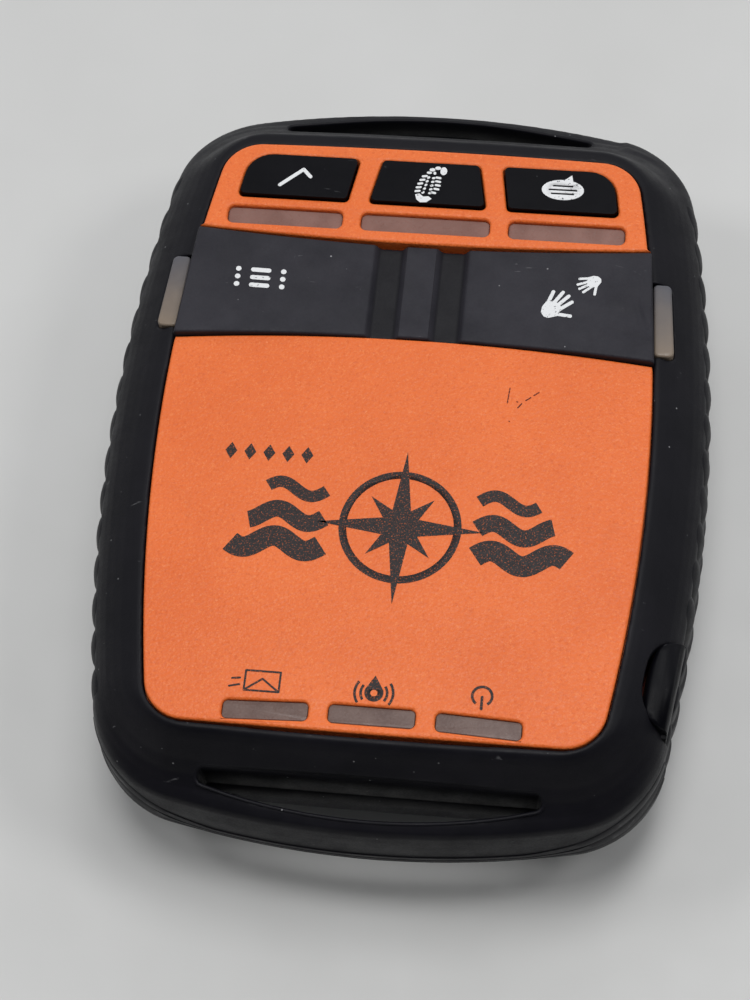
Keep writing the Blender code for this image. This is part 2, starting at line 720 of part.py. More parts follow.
def keys():
    for name in KEY_OPENINGS:
        corners, radii = key_outline(name, GAP)
        levels = ((PLUNGER_TIP, PLUNGER_SCALE), (KEY_SKIRT, PLUNGER_SCALE), (KEY_SKIRT, 1.0),
                  (KEY_TOP - KEY_BEVEL, 1.0), (KEY_TOP, 0.96))
        solid = stepped(corners, radii, levels)
        cx = sum(x for x, y in corners) / 4
        make(name, solid, "key_rubber", (cx, -28.9, KEY_TOP))
    half_x = EMERGENCY_KEY_HALF[0] - GAP
    half_y = EMERGENCY_KEY_HALF[1] - GAP
    for name, sign in (("sos_key", 1), ("help_key", -1)):
        x = sign * EMERGENCY_KEY_X
        corners = box_corners(x - half_x, x + half_x, EMERGENCY_KEY_Y - half_y,
                              EMERGENCY_KEY_Y + half_y)
        levels = ((PLUNGER_TIP, PLUNGER_SCALE), (KEY_SKIRT, PLUNGER_SCALE), (KEY_SKIRT, 1.0),
                  (EMERGENCY_KEY_TOP - KEY_BEVEL, 1.0), (EMERGENCY_KEY_TOP, 0.96))
        solid = stepped(corners, (1.2,) * 4, levels)
        make(name, solid, "orange_plastic", (x, EMERGENCY_KEY_Y, EMERGENCY_KEY_TOP))


def windows():
    for names, (y0, y1), top, finish in (
            (KEY_WINDOWS, KEY_WINDOW_Y, KEYPAD_TOP - WINDOW_SUNK, "smoked_window"),
            (STATUS_WINDOWS, STATUS_WINDOW_Y, LOGO_TOP - WINDOW_SUNK, "smoked_window")):
        for name, (x0, x1) in names.items():
            outline = rounded_box(x0 + GAP, x1 - GAP, y0 + GAP, y1 - GAP, 0.3)
            make(name, prism(outline, WINDOW_LOW, top), finish)
    window = stepped(side_window_corners(), (0.5,) * 4,
                     ((SHOULDER_TOP + GAP, 1.0), (24.1, 1.0), (24.4, 0.97)))
    make("sos_window", window, "milky_window")
    make("help_window", mirrored_x(window), "milky_window")


def strap_section(x, top, x_shift=0.0):
    """Cross-section of the strap: four points, the far pair moved out by x_shift."""
    low_y, high_y = strap_low_y(x), strap_high_y(x)
    return [(x, low_y, STRAP_LOW), (x + x_shift, high_y, STRAP_LOW),
            (x + x_shift, high_y, top), (x, low_y, top)]


def strap():
    centre = []
    for x, top in ((-CENTRE_EDGE, WEB_TOP), (-LAND_EDGE - 0.2, WEB_TOP),
                   (-LAND_EDGE, STRAP_MIDDLE_TOP), (LAND_EDGE, STRAP_MIDDLE_TOP),
                   (LAND_EDGE + 0.2, WEB_TOP), (CENTRE_EDGE, WEB_TOP)):
        centre.append(strap_section(x, top))
    make("strap_centre", loft(centre), "strap_rubber")
    flap = [strap_section(FLAP_EDGE, WEB_TOP), strap_section(GROOVE_EDGE, WEB_TOP)]
    stations = 5
    for i in range(stations + 1):
        share = i / stations
        x = GROOVE_EDGE + 0.2 + (FLAP_END_NEAR_KEYS - GROOVE_EDGE - 0.2) * share
        top = STRAP_MIDDLE_TOP + (STRAP_END_TOP - STRAP_MIDDLE_TOP) * share
        flap.append(strap_section(x, top, (FLAP_END_NEAR_LOGO - FLAP_END_NEAR_KEYS) * share))
    solid = loft(flap)
    hinge_z = (STRAP_LOW + WEB_TOP) / 2
    make("sos_flap", solid, "strap_rubber", (HINGE_X, -15.4, hinge_z))
    make("help_flap", mirrored_x(solid), "strap_rubber", (-HINGE_X, -15.4, hinge_z))


def power_button():
    """Rubber pad in a recess of the bumper, with a stem to the switch on the board."""
    corners = box_corners(-4.2, 2.1, -4.9, 4.9)
    pad = stepped(corners, (1.6,) * 4, ((-1.0, 0.86), (-0.6, 1.0), (1.3, 1.0)))
    stem = prism(circle(0.95, (0.0, STEM_Y), 12), 0.6, 4.3)
    pad = swung(along_x(pad, BUTTON_ORIGIN), BUTTON_TILT, BUTTON_ORIGIN)
    stem = swung(along_x(stem, BUTTON_ORIGIN), BUTTON_TILT, BUTTON_ORIGIN)
    made = make("power_button", pad, "key_rubber", BUTTON_ORIGIN)
    change(made, "stem_adder", [stem], "UNION")


def housing_screws():
    names = ("left_lower", "right_lower", "left_upper", "right_upper")
    for i, name in enumerate(names):
        x = HOUSING_SCREW_X * (1 if i % 2 else -1)
        y = HOUSING_SCREW_Y * (1 if i > 1 else -1)
        profile = ((1.7, 3.3), (1.9, 3.5), (1.9, 4.6), (1.0, 4.6), (1.0, 19.6), (0.6, 20.0))
        made = make("housing_screw_" + name, turned(profile, (x, y), 12), "steel")
        socket = prism(circle(0.8, (x, y), 6), 1.0, 3.9)
        change(made, "socket_cutter_" + name, [socket])


def main():
    remove_everything()
    bumper()
    front_housing()
    rear_housing()
    housing_gasket()
    battery_door()
    door_gasket()
    door_fastener("upper", 1)
    door_fastener("lower", -1)
    for index in range(4):
        battery_cell(index)
        contact_spring(index)
    contact_plate("right", 1)
    contact_plate("left", -1)
    circuit_board()
    board_parts()
    keys()
    windows()
    strap()
    power_button()
    housing_screws()


main()
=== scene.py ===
"""Looks of the emergency position beacon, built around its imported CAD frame.

Lengths are millimetres until a mesh is made. +Z is out of the face, +Y is the
end with the three status lights, +X is to the right of someone reading it.
"""
import math

import bmesh
import bpy
from mathutils import Matrix, Vector
from mathutils.bvhtree import BVHTree


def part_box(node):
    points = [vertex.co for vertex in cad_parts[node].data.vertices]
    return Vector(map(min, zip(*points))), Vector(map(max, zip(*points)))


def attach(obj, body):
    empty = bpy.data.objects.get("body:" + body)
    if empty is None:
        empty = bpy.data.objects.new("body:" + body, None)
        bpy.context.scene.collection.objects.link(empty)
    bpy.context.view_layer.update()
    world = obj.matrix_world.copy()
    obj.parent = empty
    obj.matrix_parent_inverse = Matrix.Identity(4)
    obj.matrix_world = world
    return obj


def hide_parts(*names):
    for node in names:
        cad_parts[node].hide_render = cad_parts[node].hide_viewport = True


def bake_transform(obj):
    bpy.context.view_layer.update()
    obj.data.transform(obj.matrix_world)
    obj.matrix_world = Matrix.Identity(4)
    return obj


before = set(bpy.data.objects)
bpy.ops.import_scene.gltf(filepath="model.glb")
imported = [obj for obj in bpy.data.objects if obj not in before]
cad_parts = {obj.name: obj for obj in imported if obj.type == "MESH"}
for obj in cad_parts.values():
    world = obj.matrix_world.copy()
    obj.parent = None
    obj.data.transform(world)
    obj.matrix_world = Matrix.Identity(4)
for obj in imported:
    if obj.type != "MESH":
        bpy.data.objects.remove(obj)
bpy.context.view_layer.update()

MM = 0.001
GAP = 0.3


def node_range(node):
    """Lowest and highest corner of a CAD node, in millimetres."""
    low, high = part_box(node)
    return [c / MM for c in low], [c / MM for c in high]


HALF_WIDTH = node_range("bumper")[1][0]
HALF_LENGTH = node_range("bumper")[1][1]
LIP_TOP = node_range("bumper")[1][2]
KEYPAD_TOP = node_range("front_housing")[1][2]
HOUSING_LOW = node_range("front_housing")[0][2]
STRAP_LOW = node_range("sos_flap")[0][2]
STRAP_END_TOP = node_range("sos_flap")[1][2]
STRAP_MIDDLE_TOP = node_range("strap_centre")[1][2]
KEY_TOP = node_range("tracking_key")[1][2]
KEY_LOW = node_range("tracking_key")[0][2]
EMERGENCY_KEY_TOP = node_range("sos_key")[1][2]
WINDOW_SUNK = 0.35
LOGO_TOP = node_range("power_window")[1][2] + WINDOW_SUNK

# ------------------------------------------------------------------ outlines

SIDE_RADIUS = 175.0
FLAT_END = 600.0
BAR_END = 95.0
PANEL = (25.7, 34.3, 4.5)
PANEL_SHIFT = 0.9
ROUND_STEPS = 6


def polar(centre, radius, angle):
    return centre[0] + radius * math.cos(angle), centre[1] + radius * math.sin(angle)


def arc(centre, radius, start, end, steps):
    return [polar(centre, radius, start + (end - start) * i / steps) for i in range(steps + 1)]


def ring_part(centre, radius, width, start, end, steps):
    """Band of the given width inside a radius, from one angle to another."""
    return (arc(centre, radius, start, end, steps)
            + arc(centre, radius - width, end, start, steps))


def oval(half_x, half_y, corner, end_radius=FLAT_END, shift=0.0, steps=(24, 12, 8)):
    """Closed outline of two bowed sides, two bowed ends and four round corners."""
    side_centre = half_x - SIDE_RADIUS
    end_centre = half_y - end_radius
    side_reach = SIDE_RADIUS - corner
    end_reach = end_radius - corner
    span = math.hypot(side_centre, end_centre)
    along = (side_reach ** 2 - end_reach ** 2 + span ** 2) / (2 * span)
    across = math.sqrt(side_reach ** 2 - along ** 2)
    ux, uy = -side_centre / span, end_centre / span
    cx = side_centre + along * ux - across * uy
    cy = along * uy + across * ux
    side_turn = math.atan2(cy, cx - side_centre)
    end_turn = math.atan2(cy - end_centre, cx)
    quarter = arc((side_centre, 0.0), SIDE_RADIUS, 0.0, side_turn, steps[0])[:-1]
    quarter += arc((cx, cy), corner, side_turn, end_turn, steps[1])
    quarter += arc((0.0, end_centre), end_radius, end_turn, math.pi / 2, steps[2])[1:]
    outline = list(quarter)
    outline += [(-x, y) for x, y in reversed(quarter[:-1])]
    outline += [(-x, -y) for x, y in quarter[1:]]
    outline += [(x, -y) for x, y in reversed(quarter[1:-1])]
    return [(x, y + shift) for x, y in outline]


def rounded(corners, radii):
    """Polygon whose corners are rounded, each by its own radius."""
    points = []
    count = len(corners)
    for i, (px, py) in enumerate(corners):
        ax, ay = corners[i - 1]
        bx, by = corners[(i + 1) % count]
        ua = math.atan2(ay - py, ax - px)
        ub = math.atan2(by - py, bx - px)
        turn = (ub - ua + math.pi) % (2 * math.pi) - math.pi
        half = abs(turn) / 2
        middle = ua + turn / 2
        reach = radii[i] / math.sin(half)
        centre = polar((px, py), reach, middle)
        sweep = (math.pi - 2 * half) * (1 if turn < 0 else -1)
        start = middle + math.pi - sweep / 2
        points += arc(centre, radii[i], start, start + sweep, ROUND_STEPS)
    return points


def inset(corners, distance):
    """Convex counterclockwise polygon with each side moved inwards."""
    moved = []
    count = len(corners)
    for i in range(count):
        before, here, after = corners[i - 1], corners[i], corners[(i + 1) % count]
        a = Vector(here) - Vector(before)
        b = Vector(after) - Vector(here)
        a.normalize()
        b.normalize()
        normal_a = Vector((-a.y, a.x))
        normal_b = Vector((-b.y, b.x))
        middle = normal_a + normal_b
        moved.append(tuple(Vector(here) + middle * (distance / (1.0 + normal_a.dot(normal_b)))))
    return moved


def box_corners(x0, x1, y0, y1):
    return [(x0, y0), (x1, y0), (x1, y1), (x0, y1)]


def rounded_box(x0, x1, y0, y1, radius):
    return rounded(box_corners(x0, x1, y0, y1), (radius,) * 4)


def mirrored(solid, x_sign, y_sign):
    vertices, faces = solid
    return [(x_sign * x, y_sign * y, z) for x, y, z in vertices], faces


def strap_low_y(x):
    return -21.0 - 0.8 * (x / 25.0) ** 2


def strap_high_y(x):
    return -9.9 + 1.35 * (x / 25.0) ** 2


# -------------------------------------------------------------------- meshes

DOUBLE_POINT = 0.002


def mesh_from(name, vertices, faces):
    mesh = bpy.data.meshes.new(name)
    mesh.from_pydata([tuple(c * MM for c in v) for v in vertices], [], faces)
    face_outwards(mesh)
    return mesh


def face_outwards(mesh, merge=False):
    """Turn all faces of a mesh outwards, after merging its double points if asked."""
    shape = bmesh.new()
    shape.from_mesh(mesh)
    if merge:
        bmesh.ops.remove_doubles(shape, verts=shape.verts, dist=DOUBLE_POINT * MM)
    bmesh.ops.recalc_face_normals(shape, faces=shape.faces)
    shape.to_mesh(mesh)
    shape.free()


def add_object(name, mesh, look=None, sharp=35.0):
    mesh.shade_smooth()
    mesh.set_sharp_from_angle(angle=math.radians(sharp))
    piece = bpy.data.objects.new(name, mesh)
    bpy.context.scene.collection.objects.link(piece)
    if look:
        mesh.materials.clear()
        mesh.materials.append(look)
    return piece


def loft(rings, closed=False):
    """Vertices and faces of a skin over rings of equal point count."""
    count = len(rings[0])
    vertices = [point for ring in rings for point in ring]
    faces = []
    pairs = len(rings) if closed else len(rings) - 1
    for r in range(pairs):
        low = r * count
        high = ((r + 1) % len(rings)) * count
        for i in range(count):
            j = (i + 1) % count
            faces.append((low + i, low + j, high + j, high + i))
    if not closed:
        faces.append(tuple(reversed(range(count))))
        faces.append(tuple(range(len(vertices) - count, len(vertices))))
    return vertices, faces


def lofted(name, rings, look=None, sharp=35.0, closed=False):
    return add_object(name, mesh_from(name, *loft(rings, closed)), look, sharp)


def lift(outline, z):
    return [(x, y, z) for x, y in outline]


def prism(outline, low, high):
    return loft([lift(outline, low), lift(outline, high)])


def joined(solids):
    vertices = []
    faces = []
    for solid_vertices, solid_faces in solids:
        base = len(vertices)
        vertices += solid_vertices
        faces += [tuple(base + i for i in face) for face in solid_faces]
    return vertices, faces


def evaluated(piece, name):
    """Mesh of a piece with its modifiers applied."""
    depsgraph = bpy.context.evaluated_depsgraph_get()
    mesh = bpy.data.meshes.new_from_object(piece.evaluated_get(depsgraph))
    mesh.name = name
    return mesh


def settle(piece):
    """Apply a piece's modifiers to its mesh."""
    mesh = evaluated(piece, piece.name)
    piece.modifiers.clear()
    piece.data = mesh


def cut(piece, solids, operation="DIFFERENCE"):
    """Cut solids from a piece, or join them to it, and apply the result."""
    tool = add_object("tool", mesh_from("tool", *joined(solids)))
    modifier = piece.modifiers.new("cut", "BOOLEAN")
    modifier.operation = operation
    modifier.solver = "EXACT"
    modifier.object = tool
    settle(piece)
    bpy.data.objects.remove(tool, do_unlink=True)


def plate(name, outlines, low, high, edge, look):
    """Flat plate with holes: the first outline is its rim, and every edge is rounded."""
    curve = bpy.data.curves.new(name, "CURVE")
    curve.dimensions = "2D"
    curve.fill_mode = "BOTH"
    curve.extrude = ((high - low) / 2 - edge) * MM
    curve.bevel_depth = edge * MM
    curve.bevel_resolution = 3
    curve.offset = -edge * MM
    for outline in outlines:
        spline = curve.splines.new("POLY")
        spline.points.add(len(outline) - 1)
        for point, (x, y) in zip(spline.points, outline):
            point.co = (x * MM, y * MM, 0.0, 1.0)
        spline.use_cyclic_u = True
    maker = bpy.data.objects.new(name, curve)
    bpy.context.scene.collection.objects.link(maker)
    mesh = evaluated(maker, name)
    bpy.data.objects.remove(maker, do_unlink=True)
    mesh.transform(Matrix.Translation((0.0, 0.0, (low + high) / 2 * MM)))
    face_outwards(mesh, merge=True)
    piece = add_object(name, mesh, look, 40.0)
    flatten_normals(piece)
    return piece


def flatten_normals(piece):
    modifier = piece.modifiers.new("even_normals", "WEIGHTED_NORMAL")
    modifier.keep_sharp = True
    modifier.weight = 100


def soften(piece, width, segments=3, limit=30.0):
    """Round a piece's sharp edges."""
    modifier = piece.modifiers.new("round_edges", "BEVEL")
    modifier.width = width * MM
    modifier.segments = segments
    modifier.limit_method = "ANGLE"
    modifier.angle_limit = math.radians(limit)
    modifier.harden_normals = False
    settle(piece)
    piece.data.shade_smooth()
    piece.data.set_sharp_from_angle(angle=math.radians(60))
    flatten_normals(piece)


def place(piece, body, *nodes, finish=None):
    """Ride on a body and stand for CAD nodes; finish is not used."""
    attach(piece, body)
    if nodes:
        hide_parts(*nodes)


def on_bumper(piece):
    place(piece, "root", "bumper", finish="black_rubber")


# ----------------------------------------------------------------- materials

LAND = 1.6
GROOVE_FLOOR = 24.02
GROOVE_END = 5.3
GROOVE_WALL = 0.85
FLAP_END = 24.45
STRAP_LAP = 0.22


class Look:
    """A Principled material with small helpers for its noise, colour and bump."""

    def __init__(self, name, roughness, **inputs):
        self.material = bpy.data.materials.new(name)
        self.material.use_nodes = True
        self.nodes = self.material.node_tree.nodes
        self.links = self.material.node_tree.links
        self.shader = self.nodes["Principled BSDF"]
        self.shader.inputs["Roughness"].default_value = roughness
        for key, value in inputs.items():
            self.shader.inputs[key.replace("_", " ")].default_value = value
        self.place = self.nodes.new("ShaderNodeTexCoord").outputs["Object"]

    def feed(self, socket, value):
        """Link a socket to another, or give it a value; a colour has three numbers."""
        if isinstance(value, bpy.types.NodeSocket):
            self.links.new(value, socket)
        elif socket.type == "RGBA":
            socket.default_value = (*value, 1.0)
        else:
            socket.default_value = value

    def node(self, kind, output, **inputs):
        """One output of a new node whose inputs are fed by name."""
        node = self.nodes.new("ShaderNode" + kind)
        for key, value in inputs.items():
            self.feed(node.inputs[key.replace("_", " ")], value)
        return node.outputs[output]

    def stretched(self, scale):
        return self.node("Mapping", "Vector", Scale=scale, Vector=self.place)

    def noise(self, size, detail=2.0, rough=0.5, distortion=0.0):
        """Noise whose grains are about size millimetres wide."""
        return self.node("TexNoise", "Fac", Scale=1.0 / (size * MM), Detail=detail,
                         Roughness=rough, Distortion=distortion, Vector=self.place)

    def cells(self, size):
        return self.node("TexVoronoi", "Distance", Scale=1.0 / (size * MM), Vector=self.place)

    def spread(self, value, low, high, out_low=0.0, out_high=1.0):
        return self.node("MapRange", "Result", From_Min=low, From_Max=high, To_Min=out_low,
                         To_Max=out_high, Value=value)

    def combine(self, a, b, operation="MULTIPLY"):
        node = self.nodes.new("ShaderNodeMath")
        node.operation = operation
        self.feed(node.inputs[0], a)
        self.feed(node.inputs[1], b)
        return node.outputs["Value"]

    def axis(self, index):
        return self.node("SeparateXYZ", index, Vector=self.place)

    def blend(self, share, a, b):
        """Colour a where share is 0, b where it is 1."""
        node = self.nodes.new("ShaderNodeMix")
        node.data_type = "RGBA"
        self.feed(node.inputs["Factor"], share)
        self.feed(node.inputs[6], a)
        self.feed(node.inputs[7], b)
        return node.outputs[2]

    def colour(self, value):
        self.feed(self.shader.inputs["Base Color"], value)

    def roughness(self, value):
        self.feed(self.shader.inputs["Roughness"], value)

    def bump(self, height, depth, strength=1.0):
        """Add a bump layer that is depth millimetres deep."""
        normal = self.shader.inputs["Normal"]
        inputs = {"Strength": strength, "Distance": depth * MM, "Height": height}
        if normal.is_linked:
            inputs["Normal"] = normal.links[0].from_socket
        self.feed(normal, self.node("Bump", "Normal", **inputs))


def orange_look():
    look = Look("orange_grained_plastic", 0.45, Specular_IOR_Level=0.32)
    grain = look.noise(0.42, 3.0, 0.6)
    pebble = look.cells(0.34)
    patches = look.noise(14.0, 3.0, 0.6)
    # The lighter orange specks mixed in below are painted glints: the grain's sparkle highlights
    # drawn into the colour.
    light = look.spread(look.noise(0.26, 2.0, 0.6, distortion=1.2), 0.52, 0.74)
    base = look.blend(look.spread(patches, 0.35, 0.65), (0.70, 0.131, 0.023), (0.76, 0.154, 0.030))
    base = look.blend(look.combine(light, 0.42), base, (0.90, 0.30, 0.10))
    dark = look.spread(look.noise(0.36, 2.0, 0.6), 0.44, 0.30)
    base = look.blend(look.combine(dark, 0.45), base, (0.58, 0.092, 0.012))
    smudge = look.spread(look.noise(5.0, 5.0, 0.72, distortion=0.8), 0.60, 0.78)
    base = look.blend(look.combine(smudge, 0.22), base, (0.42, 0.085, 0.03))
    look.colour(base)
    look.roughness(look.spread(grain, 0.3, 0.7, 0.36, 0.56))
    look.bump(look.combine(grain, pebble, "ADD"), 0.075, 0.5)
    return look.material


def dusty(look, base, lint, amount):
    """Scatter small pale specks and short streaks over a dark base colour."""
    specks = look.spread(look.cells(1.9), 0.060, 0.030)
    where = look.spread(look.noise(9.0, 3.0, 0.6), 0.47, 0.62)
    base = look.blend(look.combine(look.combine(specks, where), amount), base, lint)
    fibre = look.node("TexNoise", "Fac", Scale=1.0, Detail=4.0, Distortion=1.5,
                      Vector=look.stretched((260.0, 900.0, 600.0)))
    marks = look.spread(fibre, 0.72, 0.80)
    return look.blend(look.combine(marks, 0.35 * amount), base, lint)


def rubber_look(name, dark, light, roughness, grain_size, grain_depth, dust, gloss, groove=None):
    """Black rubber; below the height groove, fading out 0.35 mm above it, it is darker, as painted
    shade in the grooves.
    """
    look = Look(name, roughness, Specular_IOR_Level=gloss)
    tone = look.spread(look.noise(7.0, 4.0, 0.6), 0.35, 0.68)
    base = look.blend(tone, dark, light)
    base = dusty(look, base, (0.30, 0.30, 0.31), dust)
    if groove:
        # Painted shade: darker at the groove floor, fading out 0.35 mm above it.
        groove_shade = look.spread(look.axis(2), (groove + 0.35) * MM, groove * MM)
        base = look.blend(groove_shade, base, tuple(0.42 * channel for channel in dark))
    look.colour(base)
    grain = look.noise(grain_size, 3.0, 0.6)
    wear = look.noise(3.2, 4.0, 0.65)
    rough = look.combine(look.spread(grain, 0.3, 0.7, -0.05, 0.05),
                         look.spread(wear, 0.3, 0.7, roughness - 0.07, roughness + 0.08), "ADD")
    look.roughness(rough)
    look.bump(grain, grain_depth, 0.5)
    look.bump(wear, grain_depth * 1.6, 0.35)
    return look.material


def window_look(name, dark, light):
    look = Look(name, 0.28, Specular_IOR_Level=0.2)
    cloud = look.noise(3.0, 2.0, 0.5)
    base = look.blend(look.spread(cloud, 0.35, 0.65), dark, light)
    base = look.blend(look.combine(look.spread(look.noise(0.25, 1.0), 0.5, 0.8), 0.30), base,
                      (0.22, 0.16, 0.14))
    look.colour(base)
    look.roughness(look.spread(look.noise(0.5, 2.0), 0.3, 0.7, 0.24, 0.40))
    look.bump(look.noise(0.22, 2.0), 0.03, 0.4)
    return look.material


def side_window_look():
    look = Look("milky_light_window", 0.33, Specular_IOR_Level=0.3)
    # Painted light and shade along the lens: dark and bluish at y = -18.3, lighter and warmer
    # towards y = -9.6.
    along = look.spread(look.axis(1), -18.3 * MM, -9.6 * MM)
    along = look.combine(along, look.spread(look.noise(4.0), 0.3, 0.7, -0.12, 0.12), "ADD")
    base = look.blend(along, (0.082, 0.083, 0.097), (0.205, 0.160, 0.121))
    look.colour(base)
    look.roughness(look.spread(look.noise(0.6, 2.0), 0.3, 0.7, 0.28, 0.42))
    look.bump(look.noise(0.30, 2.0), 0.02, 0.4)
    return look.material


def print_look(name, ink, gap_colour, low, high, size):
    """Printed mark whose ink breaks up into fine specks."""
    look = Look(name, 0.5, Specular_IOR_Level=0.2)
    share = look.spread(look.noise(size, 2.0, 0.6), low, high)
    look.colour(look.blend(share, ink, gap_colour))
    look.roughness(look.spread(look.noise(0.4), 0.3, 0.7, 0.40, 0.62))
    look.bump(look.noise(0.35, 3.0), 0.05, 0.5)
    return look.material


def plain_look(name, dark, light, roughness, size, depth, metallic=0.0, stretch=None):
    """Hard part: two tones, uneven roughness and a fine surface."""
    look = Look(name, roughness, Metallic=metallic)
    grain = look.noise(size, 3.0, 0.6)
    tone = look.noise(size * 9, 3.0, 0.6)
    look.colour(look.blend(look.spread(tone, 0.35, 0.65), dark, light))
    look.roughness(look.spread(grain, 0.3, 0.7, max(0.05, roughness - 0.08), roughness + 0.08))
    if stretch:
        grain = look.node("TexNoise", "Fac", Scale=1.0, Vector=look.stretched(stretch))
    look.bump(grain, depth, 0.5)
    return look.material


ORANGE = orange_look()
BUMPER_RUBBER = rubber_look("bumper_rubber", (0.0034, 0.0033, 0.0054), (0.0062, 0.0058, 0.0086),
                            0.48, 0.22, 0.030, 1.0, 0.15)
STRAP_RUBBER = rubber_look("strap_rubber", (0.0165, 0.0158, 0.0212), (0.0260, 0.0248, 0.0320),
                           0.62, 0.26, 0.060, 1.0, 0.22, GROOVE_FLOOR)
KEY_RUBBER = rubber_look("key_rubber", (0.0014, 0.0014, 0.0026), (0.0026, 0.0026, 0.0042),
                         0.42, 0.20, 0.020, 0.6, 0.09)
SMOKED_WINDOW = window_look("smoked_light_window", (0.112, 0.070, 0.060), (0.150, 0.100, 0.086))
KEY_WINDOW = window_look("key_light_window", (0.190, 0.098, 0.080), (0.240, 0.130, 0.108))
MILKY_WINDOW = side_window_look()
BLACK_PRINT = print_look("black_print", (0.020, 0.018, 0.019), (0.36, 0.085, 0.026),
                         0.57, 0.68, 0.17)
WHITE_PRINT = print_look("white_print", (0.72, 0.73, 0.74), (0.10, 0.10, 0.11), 0.62, 0.70, 0.28)
BLACK_PLASTIC = plain_look("black_plastic", (0.014, 0.014, 0.017), (0.022, 0.022, 0.026),
                           0.52, 0.30, 0.05)
SEAL = plain_look("seal_silicone", (0.26, 0.035, 0.02), (0.34, 0.06, 0.03), 0.6, 0.4, 0.02)
BOARD = plain_look("board_mask", (0.012, 0.075, 0.032), (0.022, 0.12, 0.05), 0.4, 0.5, 0.03)
CHIP = plain_look("moulded_chip", (0.015, 0.015, 0.016), (0.026, 0.026, 0.027), 0.5, 0.15, 0.02)
CERAMIC = plain_look("antenna_ceramic", (0.50, 0.45, 0.36), (0.60, 0.55, 0.46), 0.45, 0.2, 0.02)
TINNED = plain_look("tinned_metal", (0.55, 0.55, 0.53), (0.68, 0.68, 0.66), 0.35, 0.5, 0.01, 1.0)
STEEL = plain_look("satin_steel", (0.48, 0.48, 0.49), (0.62, 0.62, 0.63), 0.32, 0.3, 0.015, 1.0,
                   (900.0, 9000.0, 9000.0))
BRASS = plain_look("turned_brass", (0.62, 0.42, 0.17), (0.74, 0.54, 0.25), 0.33, 0.3, 0.01, 1.0,
                   (900.0, 900.0, 9000.0))
LED = plain_look("led_body", (0.72, 0.70, 0.60), (0.82, 0.80, 0.72), 0.3, 0.4, 0.01)
CELL = plain_look("cell_sleeve", (0.045, 0.060, 0.115), (0.070, 0.090, 0.160), 0.32, 1.2, 0.02, 0.5)

# -------------------------------------------------------------------- bumper

BUTTON_X, BUTTON_Y = -29.0, 26.0
BUTTON_TILT = math.radians(-8.5)
RIB_PITCH = 4.28
RIB_HALF = 2.06
RIB_PROUD = 0.9
RIB_LOW = 8.6
RIB_HIGH = 18.7
RIB_HIGH_AT_BUTTON = 15.4
RIBS_EACH_WAY = 7
RIB_BOW = 0.36
SLEEVE_LOW = 12.6
BAND_START = 32.4
BAND_LOW = 10.08
SHOULDER_STEP = 0.28
SHOULDER_STEP_X = -20.8

# Skin from the foot to the lip: height and half width of the sides, height and half
# length of the ends, corner radius, end radius. The wall steps in above its widest line.
BUMPER_SKIN = (
    (0.0, 29.2, 0.0, 33.4, 7.6, FLAT_END),
    (0.12, 29.75, 0.12, 33.95, 8.0, FLAT_END),
    (0.5, 30.2, 0.5, 34.4, 8.2, FLAT_END),
    (1.2, 30.6, 1.2, 34.8, 8.5, FLAT_END),
    (3.5, 31.3, 3.5, 35.7, 9.0, FLAT_END),
    (6.0, 32.0, 6.0, 36.6, 9.5, FLAT_END),
    (8.3, 32.35, 8.3, 37.8, 10.0, FLAT_END),
    (9.1, 32.4, 9.1, 39.2, 10.5, 300.0),
    (9.5, 32.4, 9.5, 41.4, 11.0, BAR_END),
    (9.9, 32.45, 9.9, 42.8, 11.4, BAR_END),
    (10.3, 32.45, 10.3, 43.35, 11.5, BAR_END),
    (12.3, 32.48, 12.3, 43.45, 11.5, BAR_END),
    (12.7, 32.25, 12.7, 43.4, 11.4, BAR_END),
    (14.5, 32.25, 14.5, 43.35, 11.4, BAR_END),
    (16.0, 32.25, 16.0, 43.25, 11.3, BAR_END),
    (17.4, 32.2, 17.2, 43.1, 11.2, 97.0),
    (18.5, 32.0, 17.8, 42.8, 11.0, 100.0),
    (19.4, 31.75, 18.2, 42.1, 10.8, 110.0),
    (20.2, 31.35, 18.6, 41.0, 10.4, 150.0),
    (21.0, 30.8, 19.5, 39.6, 10.0, 250.0),
    (21.8, 30.1, 21.0, 38.3, 9.4, 400.0),
    (22.6, 29.2, 22.5, 37.3, 8.6, FLAT_END),
    (23.4, 28.2, 23.5, 36.7, 7.6, FLAT_END),
    (24.05, 27.2, 24.2, 36.2, 6.4, FLAT_END),
    (24.5, 26.35, 24.5, 35.8, 5.4, FLAT_END),
)
WIDEST_ROW = BUMPER_SKIN[11]
# Inner skin, from the lip's underside down to the foot: height, half width, half length, corner
BUMPER_LINING = (
    (22.5, 27.9, 35.9, 6.8),
    (21.1, 29.2, 36.2, 7.9),
    (19.0, 29.9, 36.6, 8.3),
    (11.0, 29.9, 36.6, 8.3),
    (8.0, 29.9, 35.6, 7.8),
    (4.0, 29.7, 34.5, 7.3),
    (1.5, 29.1, 33.3, 6.8),
    (0.0, 28.3, 32.6, 6.3),
)
BUMPER_STEPS = (112, 20, 26)
VOXEL = 0.22
SLOT_FLOOR = 4.0
ABOVE_ALL = 30.0
SLOT_HALF = 16.6
SLOT_END = (38.9, 0.7)


def smooth_step(value, low, high):
    share = min(1.0, max(0.0, (value - low) / (high - low)))
    return share * share * (3.0 - 2.0 * share)


def corner_turn(x, y):
    """Angle of a point around the outline, from 0 at a side's middle to a right angle."""
    return math.atan2(abs(y) / HALF_LENGTH, abs(x) / HALF_WIDTH)


